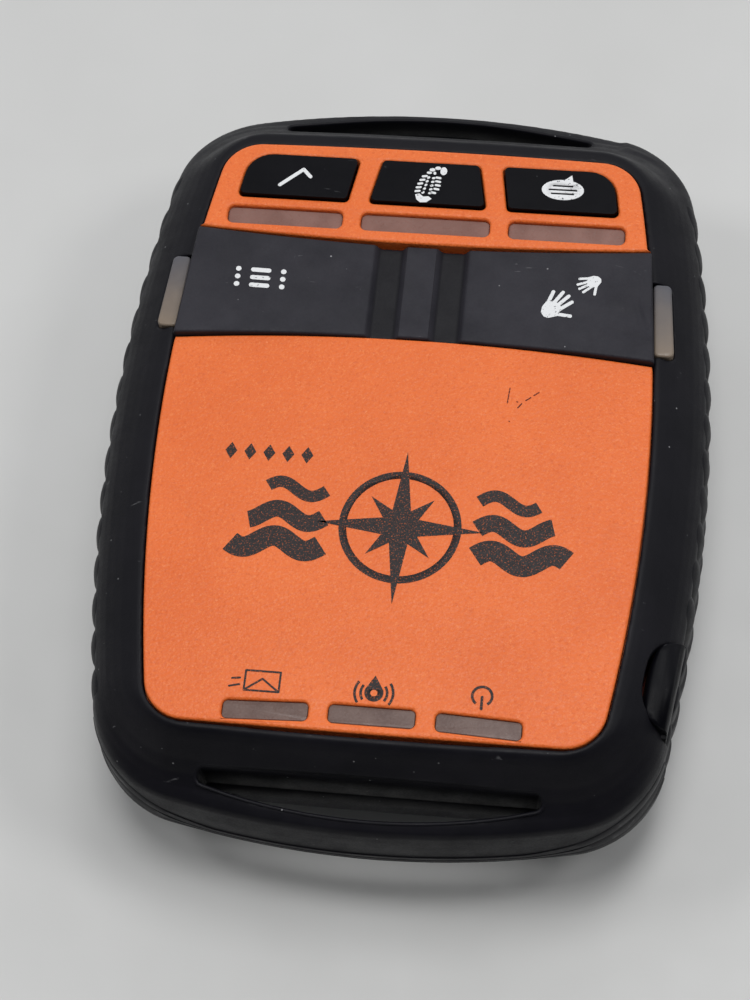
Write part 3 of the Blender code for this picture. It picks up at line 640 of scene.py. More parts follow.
def bumper_ring(row):
    side_z, half_x, end_z, half_y, corner, end_radius = row
    ring = []
    for x, y in oval(half_x, half_y, corner, end_radius, 0.0, BUMPER_STEPS):
        turn = corner_turn(x, y)
        z = side_z + (end_z - side_z) * smooth_step(turn, 0.62, 0.98)
        in_channel = (1.0 - smooth_step(turn, 0.655, 0.675)) * smooth_step(z, 5.0, 8.0)
        edge = half_x - (HALF_WIDTH - RIB_PROUD)
        depth = max(0.0, min(RIB_PROUD, edge)) * in_channel
        far_end = smooth_step(-y, 24.0, 35.0)
        y += PANEL_SHIFT * far_end * smooth_step(z, 18.6, 22.0)
        if x < SHOULDER_STEP_X and 13.0 < z < 19.6:
            y -= SHOULDER_STEP * smooth_step(-y, 33.0, 38.0) * (1.0 - smooth_step(-x, 22.0, 28.5))
        ring.append((x - math.copysign(depth, x), y, z))
    return ring


def between(table, parts):
    """The rows of a table with evenly spaced rows added between them."""
    rows = []
    for a, b in zip(table, table[1:]):
        for i in range(parts):
            rows.append(tuple(p + (q - p) * i / parts for p, q in zip(a, b)))
    rows.append(table[-1])
    return rows


def slot_outline():
    """Lanyard slot: straight on the inside, bowed on the outside, with round ends."""
    half = SLOT_HALF
    end_y, end_radius = SLOT_END
    outer = [(x, 41.75 - 2.15 * (x / half) ** 2) for x in
             [half - 0.5 - (2 * half - 1.0) * i / 16 for i in range(17)]]
    left = arc((-half, end_y), end_radius, math.radians(95), math.radians(265), 6)
    right = arc((half, end_y), end_radius, math.radians(-85), math.radians(85), 6)
    return left + right + outer


def bumper():
    rings = [bumper_ring(row) for row in between(BUMPER_SKIN, 3)]
    rim = oval(PANEL[0] + 0.12, PANEL[1] + 0.12, PANEL[2], FLAT_END, PANEL_SHIFT, BUMPER_STEPS)
    rings.append(lift(rim, LIP_TOP - 0.1))
    rings.append(lift(rim, 22.5))
    for z, half_x, half_y, corner in BUMPER_LINING:
        rings.append(lift(oval(half_x, half_y, corner, FLAT_END, 0.0, BUMPER_STEPS), z))
    skin = loft(rings, closed=True)
    piece = add_object("bumper_skin", mesh_from("bumper_skin", *skin))
    upper = prism(slot_outline(), SLOT_FLOOR, ABOVE_ALL)
    lower = mirrored(upper, -1, -1)
    notch = prism(rounded([(24.0, -18.4), (27.05, -18.4), (27.75, -9.45), (24.0, -9.45)],
                          (0.3, 0.8, 0.8, 0.3)), 23.1, 27.0)
    relief = prism(box_corners(-14.6, 14.6, 37.25, 40.7), SLOT_FLOOR, SLEEVE_LOW)
    cut(piece, [upper, lower, notch, mirrored(notch, -1, 1), button_recess()])
    cut(piece, [relief, mirrored(relief, -1, -1)])
    remesh = piece.modifiers.new("even_mesh", "REMESH")
    remesh.mode = "VOXEL"
    remesh.voxel_size = VOXEL * MM
    smooth = piece.modifiers.new("soft_edges", "SMOOTH")
    smooth.factor = 0.5
    smooth.iterations = 2
    settle(piece)
    piece.data.materials.append(BUMPER_RUBBER)
    piece.data.shade_smooth()
    on_bumper(piece)
    slot_sleeves(BVHTree.FromPolygons([Vector(point) for point in skin[0]], skin[1]))


def slot_sleeves(skin):
    """Thin rubber lining of each lanyard slot, with a small bead around its rim."""
    for name, side in (("near_sleeve", 1), ("far_sleeve", -1)):
        outline = [(side * x, side * y) for x, y in slot_outline()]
        heights = [skin.ray_cast(Vector((x, y, 40.0)), Vector((0.0, 0.0, -1.0)))[0].z
                   for x, y in outline]
        rings = []
        for out, rise in ((0.34, -0.4), (0.36, 0.0), (0.27, 0.07), (0.10, 0.07), (0.0, -0.03),
                          (-0.04, -0.12)):
            ring = inset(outline, -out)
            rings.append([(x, y, z + rise) for (x, y), z in zip(ring, heights)])
        for out, z in ((-0.04, 15.6), (0.02, 15.5), (0.02, 15.3), (-0.04, 15.2),
                       (-0.04, SLEEVE_LOW), (0.34, SLEEVE_LOW)):
            rings.append(lift(inset(outline, -out), z))
        on_bumper(lofted(name, rings, BUMPER_RUBBER, 50.0, closed=True))


def skin_x(y, z):
    """Half width of the bumper's outer skin at one place on its side."""
    for low, high in zip(BUMPER_SKIN, BUMPER_SKIN[1:]):
        if low[0] <= z <= high[0]:
            half_x = low[1] + (high[1] - low[1]) * (z - low[0]) / (high[0] - low[0])
    return half_x - SIDE_RADIUS + math.sqrt(SIDE_RADIUS ** 2 - y ** 2)


def grip_pad(side, middle_y, high):
    """Upright pad of the side grip: bowed across, with round ends, sunk into the wall."""
    rings = []
    rows, steps = 44, 28
    low = RIB_LOW
    for r in range(rows + 1):
        angle = -math.pi / 2 + math.pi * r / rows
        reach = math.sin(angle)
        z = (low + high) / 2 + (high - low + 2 * RIB_HALF) / 2 * reach
        over = max(0.0, z - high, low - z) / RIB_HALF
        width = max(0.06, RIB_HALF * math.sqrt(max(0.0, 1.0 - over ** 2)))
        proud = 0.14 * smooth_step(z, 16.0, 18.4)
        ring = []
        for i in range(steps + 1):
            across = math.sin(math.pi / 2 * (-1.0 + 2.0 * i / steps))
            y = middle_y + width * across
            drop = RIB_BOW * (width * across / RIB_HALF) ** 2
            drop += (RIB_PROUD - RIB_BOW) * max(abs(across) ** 9, over ** 5)
            ring.append((side * (skin_x(y, z) + proud - drop), y, z))
        root_x = side * (HALF_WIDTH - RIB_PROUD - 1.2 - middle_y ** 2 / (2 * SIDE_RADIUS)
                         - 1.5 * smooth_step(z, 19.0, 21.0))
        ring += [(root_x, middle_y + width, z), (root_x, middle_y - width, z)]
        rings.append(ring)
    return loft(rings)


def side_grips():
    for name, side in (("left_grip", 1), ("right_grip", -1)):
        pads = []
        for i in range(-RIBS_EACH_WAY, RIBS_EACH_WAY + 1):
            y = i * RIB_PITCH
            by_button = side < 0 and abs(y - BUTTON_Y) < 6.0
            pads.append(grip_pad(side, y, RIB_HIGH_AT_BUTTON if by_button else RIB_HIGH))
        on_bumper(add_object(name, mesh_from(name, *joined(pads)), BUMPER_RUBBER, 60.0))


def end_bands():
    """Raised band with parting lines along the wall of each end, taller at the corners."""
    section = ((-0.6, 1.0), (0.02, 1.0), (0.11, 0.96), (0.11, 0.70), (0.03, 0.675),
               (0.03, 0.63), (0.11, 0.60), (0.09, 0.38), (0.03, 0.355), (0.03, 0.31),
               (0.08, 0.285), (0.05, 0.05), (-0.02, 0.0), (-0.6, 0.0))
    skin = [bumper_ring(row) for row in BUMPER_SKIN]
    base = skin[BUMPER_SKIN.index(WIDEST_ROW)]
    for name, side in (("near_band", 1), ("far_band", -1)):
        rings = []
        for i in range(len(base)):
            x, y, _ = base[i]
            if side * y < BAND_START:
                continue
            ahead, behind = base[(i + 1) % len(base)], base[i - 1]
            normal = Vector((ahead[1] - behind[1], behind[0] - ahead[0])).normalized()
            high = 12.5 + 4.4 * (1.0 - smooth_step(corner_turn(x, y), 0.74, 1.12))
            ring = []
            for out, share in section:
                z = BAND_LOW + (high - BAND_LOW) * share
                wall_x, wall_y = wall_point([level[i] for level in skin], z)
                ring.append((wall_x + normal.x * out, wall_y + normal.y * out, z))
            rings.append(ring)
        on_bumper(lofted(name, rings, BUMPER_RUBBER, 30.0))


def wall_point(column, z):
    """Place at height z on a rising column of points of the skin."""
    for low, high in zip(column, column[1:]):
        if low[2] <= z <= high[2]:
            share = (z - low[2]) / (high[2] - low[2])
            return tuple(low[k] + (high[k] - low[k]) * share for k in (0, 1))
    return column[-1][:2]


# -------------------------------------------------------------- power button

def tilted(points):
    """Turn points about the button's upright axis, in line with the bowed side."""
    c, s = math.cos(BUTTON_TILT), math.sin(BUTTON_TILT)
    moved = []
    for x, y, z in points:
        dx, dy = x - BUTTON_X, y - BUTTON_Y
        moved.append((BUTTON_X + dx * c - dy * s, BUTTON_Y + dx * s + dy * c, z))
    return moved


def half_moon(outer_x, depth, middle_y, half_length, steps=22):
    """Straight on the outside, bowed towards the face on the inside."""
    points = [(outer_x, middle_y - half_length)]
    for i in range(steps + 1):
        t = -1.0 + 2.0 * i / steps
        bow = (1.0 - abs(t) ** 3.2) ** (1 / 2.4)
        points.append((outer_x + 0.6 + (depth - 0.6) * bow, middle_y + half_length * t))
    points.append((outer_x, middle_y + half_length))
    return points


def button_recess(grow=0.0):
    outline = half_moon(-35.0, 8.5 + grow, BUTTON_Y + 0.1, 5.35 + grow)
    vertices, faces = prism(outline, 16.4 - 3.0 * grow, ABOVE_ALL)
    return tilted(vertices), faces


def power_button():
    """Soft domed pad that follows the slope of the bumper's shoulder inside its recess."""
    rings = []
    for z, outer_x, inner_x, half in ((16.9, -29.9, -26.7, 5.1), (20.0, -29.88, -26.7, 5.1),
                                      (20.1, -29.88, -27.0, 4.75), (20.7, -29.84, -26.9, 4.72),
                                      (21.2, -29.7, -26.82, 4.68), (21.6, -29.4, -26.8, 4.58),
                                      (21.92, -28.95, -26.88, 4.38), (22.12, -28.45, -27.1, 4.0),
                                      (22.2, -28.1, -27.4, 3.2)):
        outline = half_moon(outer_x, inner_x - outer_x, BUTTON_Y + 0.25, half)
        rings.append(tilted(lift(outline, z)))
    piece = lofted("power_button_pad", rings, KEY_RUBBER, 70.0)
    place(piece, "power_button", "power_button", finish="key_rubber")


# ------------------------------------------------------------- front housing

KEYS = {
    "check_in_key": ([(7.85, -31.7), (20.1, -31.7), (20.9, -26.1), (8.75, -26.1)],
                     (0.5, 3.0, 0.6, 0.5)),
    "tracking_key": ([(-5.4, -31.7), (5.4, -31.7), (6.46, -26.1), (-6.46, -26.1)], (0.5,) * 4),
    "message_key": ([(-20.1, -31.7), (-7.85, -31.7), (-8.75, -26.1), (-20.9, -26.1)],
                    (3.0, 0.5, 0.5, 0.6)),
}
KEY_WINDOWS = {
    "check_in_window": (9.05, 21.7),
    "tracking_window": (-7.05, 7.05),
    "message_window": (-21.7, -9.05),
}
STATUS_WINDOWS = {
    "power_window": (-14.9, -6.3),
    "position_window": (-4.35, 4.35),
    "sent_window": (6.3, 14.9),
}
KEY_WINDOW_Y = (-24.9, -22.7)
EMERGENCY_KEY = (14.6, -15.4, 6.6, 3.9)
BED = 22.9
LOGO_EDGE = 25.4
KEYPAD_EDGE = 24.55
BED_EDGE = 24.5
PLATE_LOW = 21.3
PLATE_EDGE = 0.32
KEY_FACE = KEY_TOP - 0.06
# Height, and share of the key's outline
KEY_STEM = ((KEY_LOW, 0.14), (21.0, 0.14), (21.0, 1.0))


def status_window_outline(name, shrink=0.0):
    """Small window that follows the slight arch of the panel's end."""
    x0, x1 = STATUS_WINDOWS[name]
    corners = []
    for x, y in box_corners(x0, x1, 32.0, 34.0):
        corners.append((x, y + 0.45 * (x / 15.0) ** 2))
    return rounded(inset(corners, shrink), (0.45 if shrink else 0.6,) * 4)


def panel_points(keep):
    """The part of the panel's outline for which keep(x, y) is true, in order."""
    outline = oval(PANEL[0], PANEL[1], PANEL[2], FLAT_END, PANEL_SHIFT, (60, 12, 8))
    inside = [keep(x, y) for x, y in outline]
    start = next(i for i in range(len(outline)) if inside[i] and not inside[i - 1])
    ordered = outline[start:] + outline[:start]
    return [p for p in ordered if keep(*p)]


def along_strap(start, line, shift):
    """Points from x = start to x = -start, beside one edge of the strap."""
    points = []
    for i in range(25):
        x = start - 2 * start * i / 24
        points.append((x, line(x) + shift))
    return points


def front_housing():
    logo = panel_points(lambda x, y: y > strap_high_y(LOGO_EDGE) + 0.35)
    logo = [(x, y - 0.25 * (1.0 - (x / 20.0) ** 2) if y > 30 and abs(x) < 20 else y)
            for x, y in logo]
    logo += along_strap(LOGO_EDGE, strap_high_y, GAP)[::-1]
    openings = [status_window_outline(name) for name in STATUS_WINDOWS]
    body = plate("front_face", [logo] + openings, PLATE_LOW, LOGO_TOP, PLATE_EDGE, ORANGE)

    keypad = panel_points(lambda x, y: y < strap_low_y(KEYPAD_EDGE) - 0.35)
    keypad += along_strap(KEYPAD_EDGE, strap_low_y, -GAP)
    openings = [rounded(*KEYS[name]) for name in KEYS]
    for x0, x1 in KEY_WINDOWS.values():
        openings.append(rounded_box(x0, x1, *KEY_WINDOW_Y, 0.7))
    keypad_plate = plate("keypad_face", [keypad] + openings, PLATE_LOW, KEYPAD_TOP, PLATE_EDGE,
                         ORANGE)

    band = along_strap(LOGO_EDGE, strap_high_y, 0.6) + along_strap(-BED_EDGE, strap_low_y, -0.6)
    key_x, key_y, half_x, half_y = EMERGENCY_KEY
    openings = [rounded_box(s * key_x - half_x, s * key_x + half_x, key_y - half_y,
                            key_y + half_y, 1.5) for s in (-1, 1)]
    bed = plate("strap_bed", [band] + openings, PLATE_LOW, BED, 0.15, ORANGE)

    skirt = []
    for z, half_x, half_y, corner in ((PLATE_LOW, 25.6, 33.6, 5.0), (20.4, 27.0, 34.0, 6.5),
                                      (19.0, 27.9, 34.6, 7.0), (HOUSING_LOW, 27.9, 34.6, 7.0),
                                      (HOUSING_LOW, 29.6, 36.3, 8.0), (19.0, 29.6, 36.3, 8.0),
                                      (21.0, 28.9, 35.9, 7.6), (22.2, 27.6, 35.4, 6.5),
                                      (22.2, 25.6, 33.6, 5.0)):
        skirt.append(lift(oval(half_x, half_y, corner), z))
    shell = lofted("housing_skirt", skirt, ORANGE, closed=True)
    cut(shell, [button_recess(1.1)])
    flatten_normals(shell)
    for piece in (body, keypad_plate, bed, shell):
        place(piece, "root", "front_housing", finish="orange_plastic")


# --------------------------------------------------------- keys and windows

def key_caps():
    for name, (corners, radii) in KEYS.items():
        outline = rounded(inset(corners, 0.16), radii)
        cx = sum(x for x, y in outline) / len(outline)
        cy = sum(y for x, y in outline) / len(outline)
        rings = []
        for z, scale in KEY_STEM + ((KEY_FACE, 1.0),):
            rings.append([(cx + (x - cx) * scale, cy + (y - cy) * scale, z) for x, y in outline])
        piece = add_object(name + "_cap", mesh_from(name, *loft(rings)), KEY_RUBBER)
        soften(piece, 0.16, 4, 40.0)
        place(piece, name, name, finish="key_rubber")


def emergency_keys():
    key_x, key_y, half_x, half_y = EMERGENCY_KEY
    for name, side in (("sos_key", 1), ("help_key", -1)):
        x = side * key_x
        rings = []
        for z, scale in KEY_STEM + (
                (EMERGENCY_KEY_TOP - 0.35, 1.0), (EMERGENCY_KEY_TOP - 0.1, 0.97),
                (EMERGENCY_KEY_TOP, 0.90), (EMERGENCY_KEY_TOP - 0.05, 0.5)):
            outline = rounded_box(-half_x + GAP, half_x - GAP, -half_y + GAP, half_y - GAP, 1.3)
            rings.append([(x + px * scale, key_y + py * scale, z) for px, py in outline])
        piece = add_object(name + "_cap", mesh_from(name, *loft(rings)), ORANGE)
        soften(piece, 0.10, 2, 40.0)
        place(piece, name, name, finish="orange_plastic")


def light_windows():
    low = node_range("power_window")[0][2]
    for name in STATUS_WINDOWS:
        piece = plate(name + "_lens", [status_window_outline(name, 0.04)], low, LOGO_TOP - 0.28,
                      0.12, SMOKED_WINDOW)
        place(piece, "root", name, finish="smoked_window")
    for name, (x0, x1) in KEY_WINDOWS.items():
        outline = rounded_box(x0 + 0.04, x1 - 0.04, KEY_WINDOW_Y[0] + 0.04,
                              KEY_WINDOW_Y[1] - 0.04, 0.6)
        piece = plate(name + "_lens", [outline], low, KEYPAD_TOP - 0.50, 0.12, KEY_WINDOW)
        place(piece, "root", name, finish="smoked_window")
    corners = [(25.05, -18.3), (26.95, -18.3), (27.65, -9.55), (25.55, -9.55)]
    for name, side in (("sos_window", 1), ("help_window", -1)):
        outline = rounded(corners, (0.45, 0.6, 0.6, 0.45))
        outline = [(side * x, y) for x, y in outline]
        piece = plate(name + "_lens", [outline], 22.5, 24.45, 0.25, MILKY_WINDOW)
        place(piece, "root", name, finish="milky_window")
        gutter = [(side * x, y) for x, y in box_corners(24.2, 26.2, -18.5, -9.3)]
        on_bumper(plate(name + "_gutter", [gutter], 22.6, 23.3, 0.1, BUMPER_RUBBER))


# --------------------------------------------------------------------- strap

def strap_top(x):
    """Height of the strap's top: a land in the middle, a soft groove, then a rising flap."""
    share = max(0.0, (x - GROOVE_END) / (FLAP_END - GROOVE_END))
    top = STRAP_MIDDLE_TOP + (STRAP_END_TOP - STRAP_MIDDLE_TOP) * share ** 1.3
    wall_in = smooth_step(x, LAND - 0.1, LAND - 0.1 + GROOVE_WALL)
    wall_out = 1.0 - smooth_step(x, GROOVE_END - GROOVE_WALL, GROOVE_END)
    return top - (STRAP_MIDDLE_TOP - GROOVE_FLOOR) * wall_in * wall_out


# Start and end of each fold, and how deep it is
FOLDS = (((19.6, -12.2), (24.2, -10.6), 0.10), ((22.6, -16.8), (23.9, -11.2), 0.16),
         ((20.4, -14.6), (23.2, -13.4), 0.07), ((23.6, -15.0), (24.4, -12.0), -0.10))


def creases(side, x, y):
    """Shallow folds in the rubber near the outer end of the help flap."""
    if side > 0:
        return 0.0
    depth = 0.0
    for start, end, fold in FOLDS:
        a, b, p = Vector(start), Vector(end), Vector((x, y))
        along = max(0.0, min(1.0, (p - a).dot(b - a) / (b - a).length_squared))
        away = (p - a - (b - a) * along).length
        depth += fold * math.exp(-(away / 0.32) ** 2) * math.sin(math.pi * min(1.0, along + 0.08))
    return depth


def strap_section(x, side=1, end_shift=0.0):
    """Section across the strap, with rounded upper edges."""
    low_y, high_y, top = strap_low_y(x), strap_high_y(x) + STRAP_LAP, strap_top(x)
    edge = 0.28
    bend = [math.pi / 8 * i for i in range(5)]
    section = [(low_y, STRAP_LOW)]
    section += [(low_y + edge - edge * math.cos(a), top - edge + edge * math.sin(a)) for a in bend]
    steps = 48
    for i in range(1, steps):
        y = low_y + edge + (high_y - low_y - 2 * edge) * i / steps
        section.append((y, top - creases(side, x, y)))
    section += [(high_y - edge + edge * math.sin(a), top - edge + edge * math.cos(a)) for a in bend]
    section.append((high_y, STRAP_LOW))
    return [(side * (x + end_shift * (y - low_y) / (high_y - low_y)), y, z) for y, z in section]


def strap():
    steps = 8
    land = LAND - 0.02
    centre = []
    for i in range(-steps, steps + 1):
        x = land * i / steps
        centre.append([(x, y, z) for _, y, z in strap_section(abs(x))])
    piece = lofted("strap_land", centre, STRAP_RUBBER)
    place(piece, "root", "strap_centre", finish="strap_rubber")

    stations = [LAND + (GROOVE_END - LAND) * i / 26 for i in range(27)]
    stations += [GROOVE_END + (FLAP_END - GROOVE_END) * i / 70 for i in range(1, 71)]
    for name, side in (("sos_flap", 1), ("help_flap", -1)):
        rings = []
        for x in stations:
            share = max(0.0, (x - GROOVE_END) / (FLAP_END - GROOVE_END))
            rings.append(strap_section(x, side, 0.95 * share))
        for out, squeeze in ((0.12, 0.93), (0.2, 0.84)):
            rings.append([(x + side * out, y, STRAP_LOW + (z - STRAP_LOW) * squeeze)
                          for x, y, z in rings[len(stations) - 1]])
        piece = add_object(name + "_rubber", mesh_from(name, *loft(rings)), STRAP_RUBBER, 50.0)
        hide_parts(name)
        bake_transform(piece)


# --------------------------------------------------------------------- marks

PRINT = 0.035
SCRATCH = print_look("dark_scratch", (0.10, 0.012, 0.004), (0.30, 0.05, 0.014), 0.50, 0.62, 0.15)


def stroke(points, width):
    """Outline of a band of the given width along an open line of points."""
    left = []
    right = []
    for i, (x, y) in enumerate(points):
        ax, ay = points[max(0, i - 1)]
        bx, by = points[min(len(points) - 1, i + 1)]
        length = math.hypot(bx - ax, by - ay)
        nx, ny = -(by - ay) / length, (bx - ax) / length
        left.append((x + nx * width / 2, y + ny * width / 2))
        right.append((x - nx * width / 2, y - ny * width / 2))
    return right + left[::-1]


def disc(x, y, radius, steps=20):
    return arc((x, y), radius, 0.0, 2 * math.pi, steps)[:-1]


def capsule(a, b, width, steps=8):
    """Outline of a line from a to b with round ends."""
    heading = math.atan2(b[1] - a[1], b[0] - a[0])
    half = width / 2
    points = arc(b, half, heading - math.pi / 2, heading + math.pi / 2, steps)
    return points + arc(a, half, heading + math.pi / 2, heading + 3 * math.pi / 2, steps)


def ellipse(cx, cy, half_x, half_y, steps=28):
    turns = [2 * math.pi * i / steps for i in range(steps)]
    return [(cx + half_x * math.cos(turn), cy + half_y * math.sin(turn)) for turn in turns]


def printed(outline, surface, depth=0.3):
    """Thin solid under an outline that stands PRINT above a surface z(x, y)."""
    low = [(x, y, surface(x, y) - depth) for x, y in outline]
    high = [(x, y, surface(x, y) + PRINT) for x, y in outline]
    return loft([low, high])


def united(name, solids, look, body, finish):
    """Mark made of overlapping solids, joined into one."""
    piece = mark(name, solids[:1], look, body, finish)
    for solid in solids[1:]:
        cut(piece, [solid], "UNION")
    return piece


def mark(name, solids, look, body, finish):
    piece = add_object(name, mesh_from(name, *joined(solids)), look, 30.0)
    place(piece, body, finish=finish)
    return piece


def black_mark(name, solids):
    return mark(name, solids, BLACK_PRINT, "root", "black_plastic")


def on_face(x, y):
    return LOGO_TOP


def on_keys(x, y):
    return KEY_FACE


def on_strap(x, y):
    return strap_top(abs(x))


def status_marks():
    x, y, radius = -10.7, 30.1, 1.12
    band = ring_part((x, y), radius, 0.27, math.radians(125), math.radians(415), 28)
    power = [printed(band, on_face), printed(capsule((x, y + 0.1), (x, y + 1.35), 0.27), on_face)]
    black_mark("power_symbol", power)

    x, y = 0.0, 30.25
    head = arc((x, y + 0.35), 0.95, math.radians(-20), math.radians(200), 20)
    pin = [printed([(x, y - 1.45)] + head, on_face)]
    piece = black_mark("position_symbol", pin)
    cut(piece, [prism(disc(x, y + 0.4, 0.36), LOGO_TOP - 1, LOGO_TOP + 1)])
    waves = []
    for turn in (0.0, math.pi):
        for radius in (1.45, 2.05):
            band = ring_part((x, y + 0.4), radius, 0.26, turn - 0.62, turn + 0.62, 12)
            waves.append(printed(band, on_face))
    black_mark("position_waves", waves)

    x, y, w, h = 11.2, 30.3, 1.75, 1.05
    rim = [(x - w, y - h), (x + w, y - h), (x + w, y + h), (x - w, y + h), (x - w, y - h)]
    lines = list(zip(rim, rim[1:]))
    lines += [((x - w, y + h), (x, y - 0.25)), ((x, y - 0.25), (x + w, y + h))]
    lines += [((x + w + 0.5, y + 0.5), (x + w + 1.5, y + 0.75)),
              ((x + w + 0.5, y - 0.2), (x + w + 1.3, y - 0.1))]
    united("sent_symbol", [printed(capsule(a, b, 0.2, 4), on_face) for a, b in lines],
           BLACK_PRINT, "root", "black_plastic")


def star(x, y, long, short):
    """Four-pointed star."""
    return [polar((x, y), short if i % 2 else long, math.pi / 2 + math.pi * i / 4)
            for i in range(8)]


def wave(x0, x1, y, rise, length):
    steps = 40
    points = []
    for i in range(steps + 1):
        x = x0 + (x1 - x0) * i / steps
        points.append((x, y + rise * math.sin(2 * math.pi * (x - x0) / length)))
    return points


def face_emblem():
    """Compass rose in a ring between two sets of waves, in broken black print."""
    x, y = -0.8, 12.4
    ring = arc((x, y), 6.3, 0.0, 2 * math.pi, 64)[:-1]
    piece = black_mark("face_emblem", [printed(ring, on_face)])
    cut(piece, [prism(disc(x, y, 5.5, 64), LOGO_TOP - 1, LOGO_TOP + 1)])
    solids = [printed(star(x, y, 8.6, 1.5), on_face)]
    for i in range(4):
        angle = math.pi / 4 + math.pi / 2 * i
        point = [polar((x, y), 1.7, angle - 0.45), polar((x, y), 4.6, angle),
                 polar((x, y), 1.7, angle + 0.45)]
        solids.append(printed(point, on_face))
    for solid in solids:
        cut(piece, [solid], "UNION")
    waves = []
    for sign in (-1, 1):
        for row, width in enumerate((2.3, 1.9, 1.3)):
            x0 = x + sign * 7.9
            x1 = x + sign * (17.2 - 1.6 * row)
            line = wave(x0, x1, y + 2.7 - 3.1 * row, 0.75 * sign, sign * 6.4)
            waves.append(printed(stroke(line, width), on_face))
    black_mark("face_waves", waves)
    diamonds = []
    for i in range(5):
        diamonds.append(printed(ellipse(9.6 + 2.0 * i, 4.95, 0.62, 0.95, 4), on_face))
    black_mark("face_diamonds", diamonds)


def face_scratches():
    """Broken dark scratches on the orange face."""
    solids = []
    for start, end, pieces in (((-10.75, -4.5), (-10.6, -2.6), 5),
                               ((-13.8, -4.2), (-12.2, -2.9), 2),
                               ((-12.1, -2.75), (-11.5, -1.9), 1),
                               ((-11.6, -2.95), (-11.7, -2.9), 1),
                               ((-10.95, -0.6), (-11.0, -0.55), 1)):
        a, b = Vector(start), Vector(end)
        for i in range(pieces):
            low, high = a.lerp(b, i / pieces), a.lerp(b, (i + 0.6) / pieces)
            solids.append(printed(capsule(tuple(low), tuple(high), 0.13, 5), on_face))
    mark("face_scratches", solids, SCRATCH, "root", "orange_plastic")


def key_marks():
    x, y = 14.6, -28.7
    bend = (x - 0.65, y - 1.0)
    tick = [printed(capsule((x - 1.5, y - 0.1), bend, 0.42), on_keys),
            printed(capsule(bend, (x + 1.75, y + 1.15), 0.42), on_keys)]
    united("check_in_symbol", tick, WHITE_PRINT, "check_in_key", "led_white")

    x, y = 0.05, -28.75
    pads = []
    for row in range(5):
        v = 0.98 - 0.49 * row
        edge_left = -0.52 - 0.62 * math.sin(0.35 * row)
        edge_right = 1.0 - 0.10 * max(0, row - 2) ** 2
        pads.append(((edge_left - 0.2, v - 0.05), (edge_left + 0.2, v + 0.02)))
        pads.append(((edge_right - 0.2, v - 0.1), (edge_right + 0.2, v - 0.16)))
        pads.append(((-0.12 - 0.11 * row, v - 0.2), (-0.04 - 0.11 * row, v - 0.12)))
        pads.append(((0.42 - 0.06 * row, v - 0.22), (0.54 - 0.06 * row, v - 0.18)))
    solids = [printed(capsule((x - u0, y - v0), (x - u1, y - v1), 0.27, 5), on_keys)
              for (u0, v0), (u1, v1) in pads]
    heel = [(-1.36, -1.45), (-0.9, -1.3), (-0.45, -1.68), (0.1, -1.6), (0.5, -1.9),
            (-0.05, -2.38), (-0.75, -2.42), (-1.15, -2.1)]
    solids.append(printed([(x - u, y - v) for u, v in heel], on_keys))
    for u, v, half_u, half_v in ((1.5, 1.75, 0.38, 0.52), (0.85, 2.1, 0.32, 0.22),
                                 (0.25, 1.85, 0.32, 0.22), (-0.05, 1.45, 0.30, 0.16),
                                 (0.55, 1.42, 0.16, 0.2)):
        solids.append(printed(ellipse(x - u, y - v, half_u, half_v, 16), on_keys))
    mark("tracking_symbol", solids, WHITE_PRINT, "tracking_key", "led_white")

    x, y = -14.6, -28.95
    piece = mark("message_symbol", [printed(ellipse(x, y, 2.3, 1.3), on_keys)], WHITE_PRINT,
                 "message_key", "led_white")
    tail = [(x - 1.1, y - 0.9), (x - 0.9, y - 1.95), (x + 0.1, y - 1.1)]
    cut(piece, [printed(tail, on_keys)], "UNION")
    for row, half in ((0.5, 1.25), (0.0, 1.55), (-0.5, 1.1)):
        line = box_corners(x - half, x + half, y + row - 0.11, y + row + 0.11)
        cut(piece, [prism(line, KEY_TOP - 1, KEY_TOP + 1)])


FINGER_HALF = 0.085
WRIST = ((-0.48, 0.20), (-0.55, 0.0), (-0.47, -0.24), (-0.22, -0.40))
# Base along and across the palm, heading in degrees, length; little finger to thumb
FINGERS = ((0.20, -0.37, -20.0, 0.52), (0.36, -0.14, -6.0, 0.60), (0.38, 0.08, 4.0, 0.60),
           (0.32, 0.31, 14.0, 0.54), (-0.04, 0.40, 58.0, 0.56))


def hand(x, y, size, turn, mirror):
    """Outline of an open hand that points along turn, with its thumb to the mirror side."""
    points = list(WRIST)
    for along, across, heading, length in FINGERS:
        base = (along, across)
        heading = math.radians(heading)
        side = heading - math.pi / 2
        points.append(polar(base, FINGER_HALF, side))
        points += arc(polar(base, length, heading), FINGER_HALF, side, heading + math.pi / 2, 6)
        points.append(polar(base, -FINGER_HALF, side))
    c, s = math.cos(turn) * size, math.sin(turn) * size
    outline = [(x + u * c - mirror * v * s, y + u * s + mirror * v * c) for u, v in points]
    return outline[::mirror]


def flap_marks():
    x, y = 17.1, -15.75
    solids = []
    for row in (-0.95, 0.0, 0.95):
        solids.append(printed(capsule((x - 0.85, y + row), (x + 0.85, y + row), 0.52), on_strap))
        for side in (-2.45, 2.45):
            solids.append(printed(disc(x + side, y + row, 0.3), on_strap))
    mark("distress_symbol", solids, WHITE_PRINT, "sos_flap", "led_white")
    for name, centre, size, turn, mirror in (
            ("large_hand", (-14.45, -14.2), 2.36, math.radians(-129), -1),
            ("small_hand", (-18.6, -17.7), 1.69, math.radians(26), 1)):
        outline = hand(*centre, size, turn, mirror)
        mark(name, [printed(outline, on_strap)], WHITE_PRINT, "help_flap", "led_white")


# ------------------------------------------------------------- hidden pieces

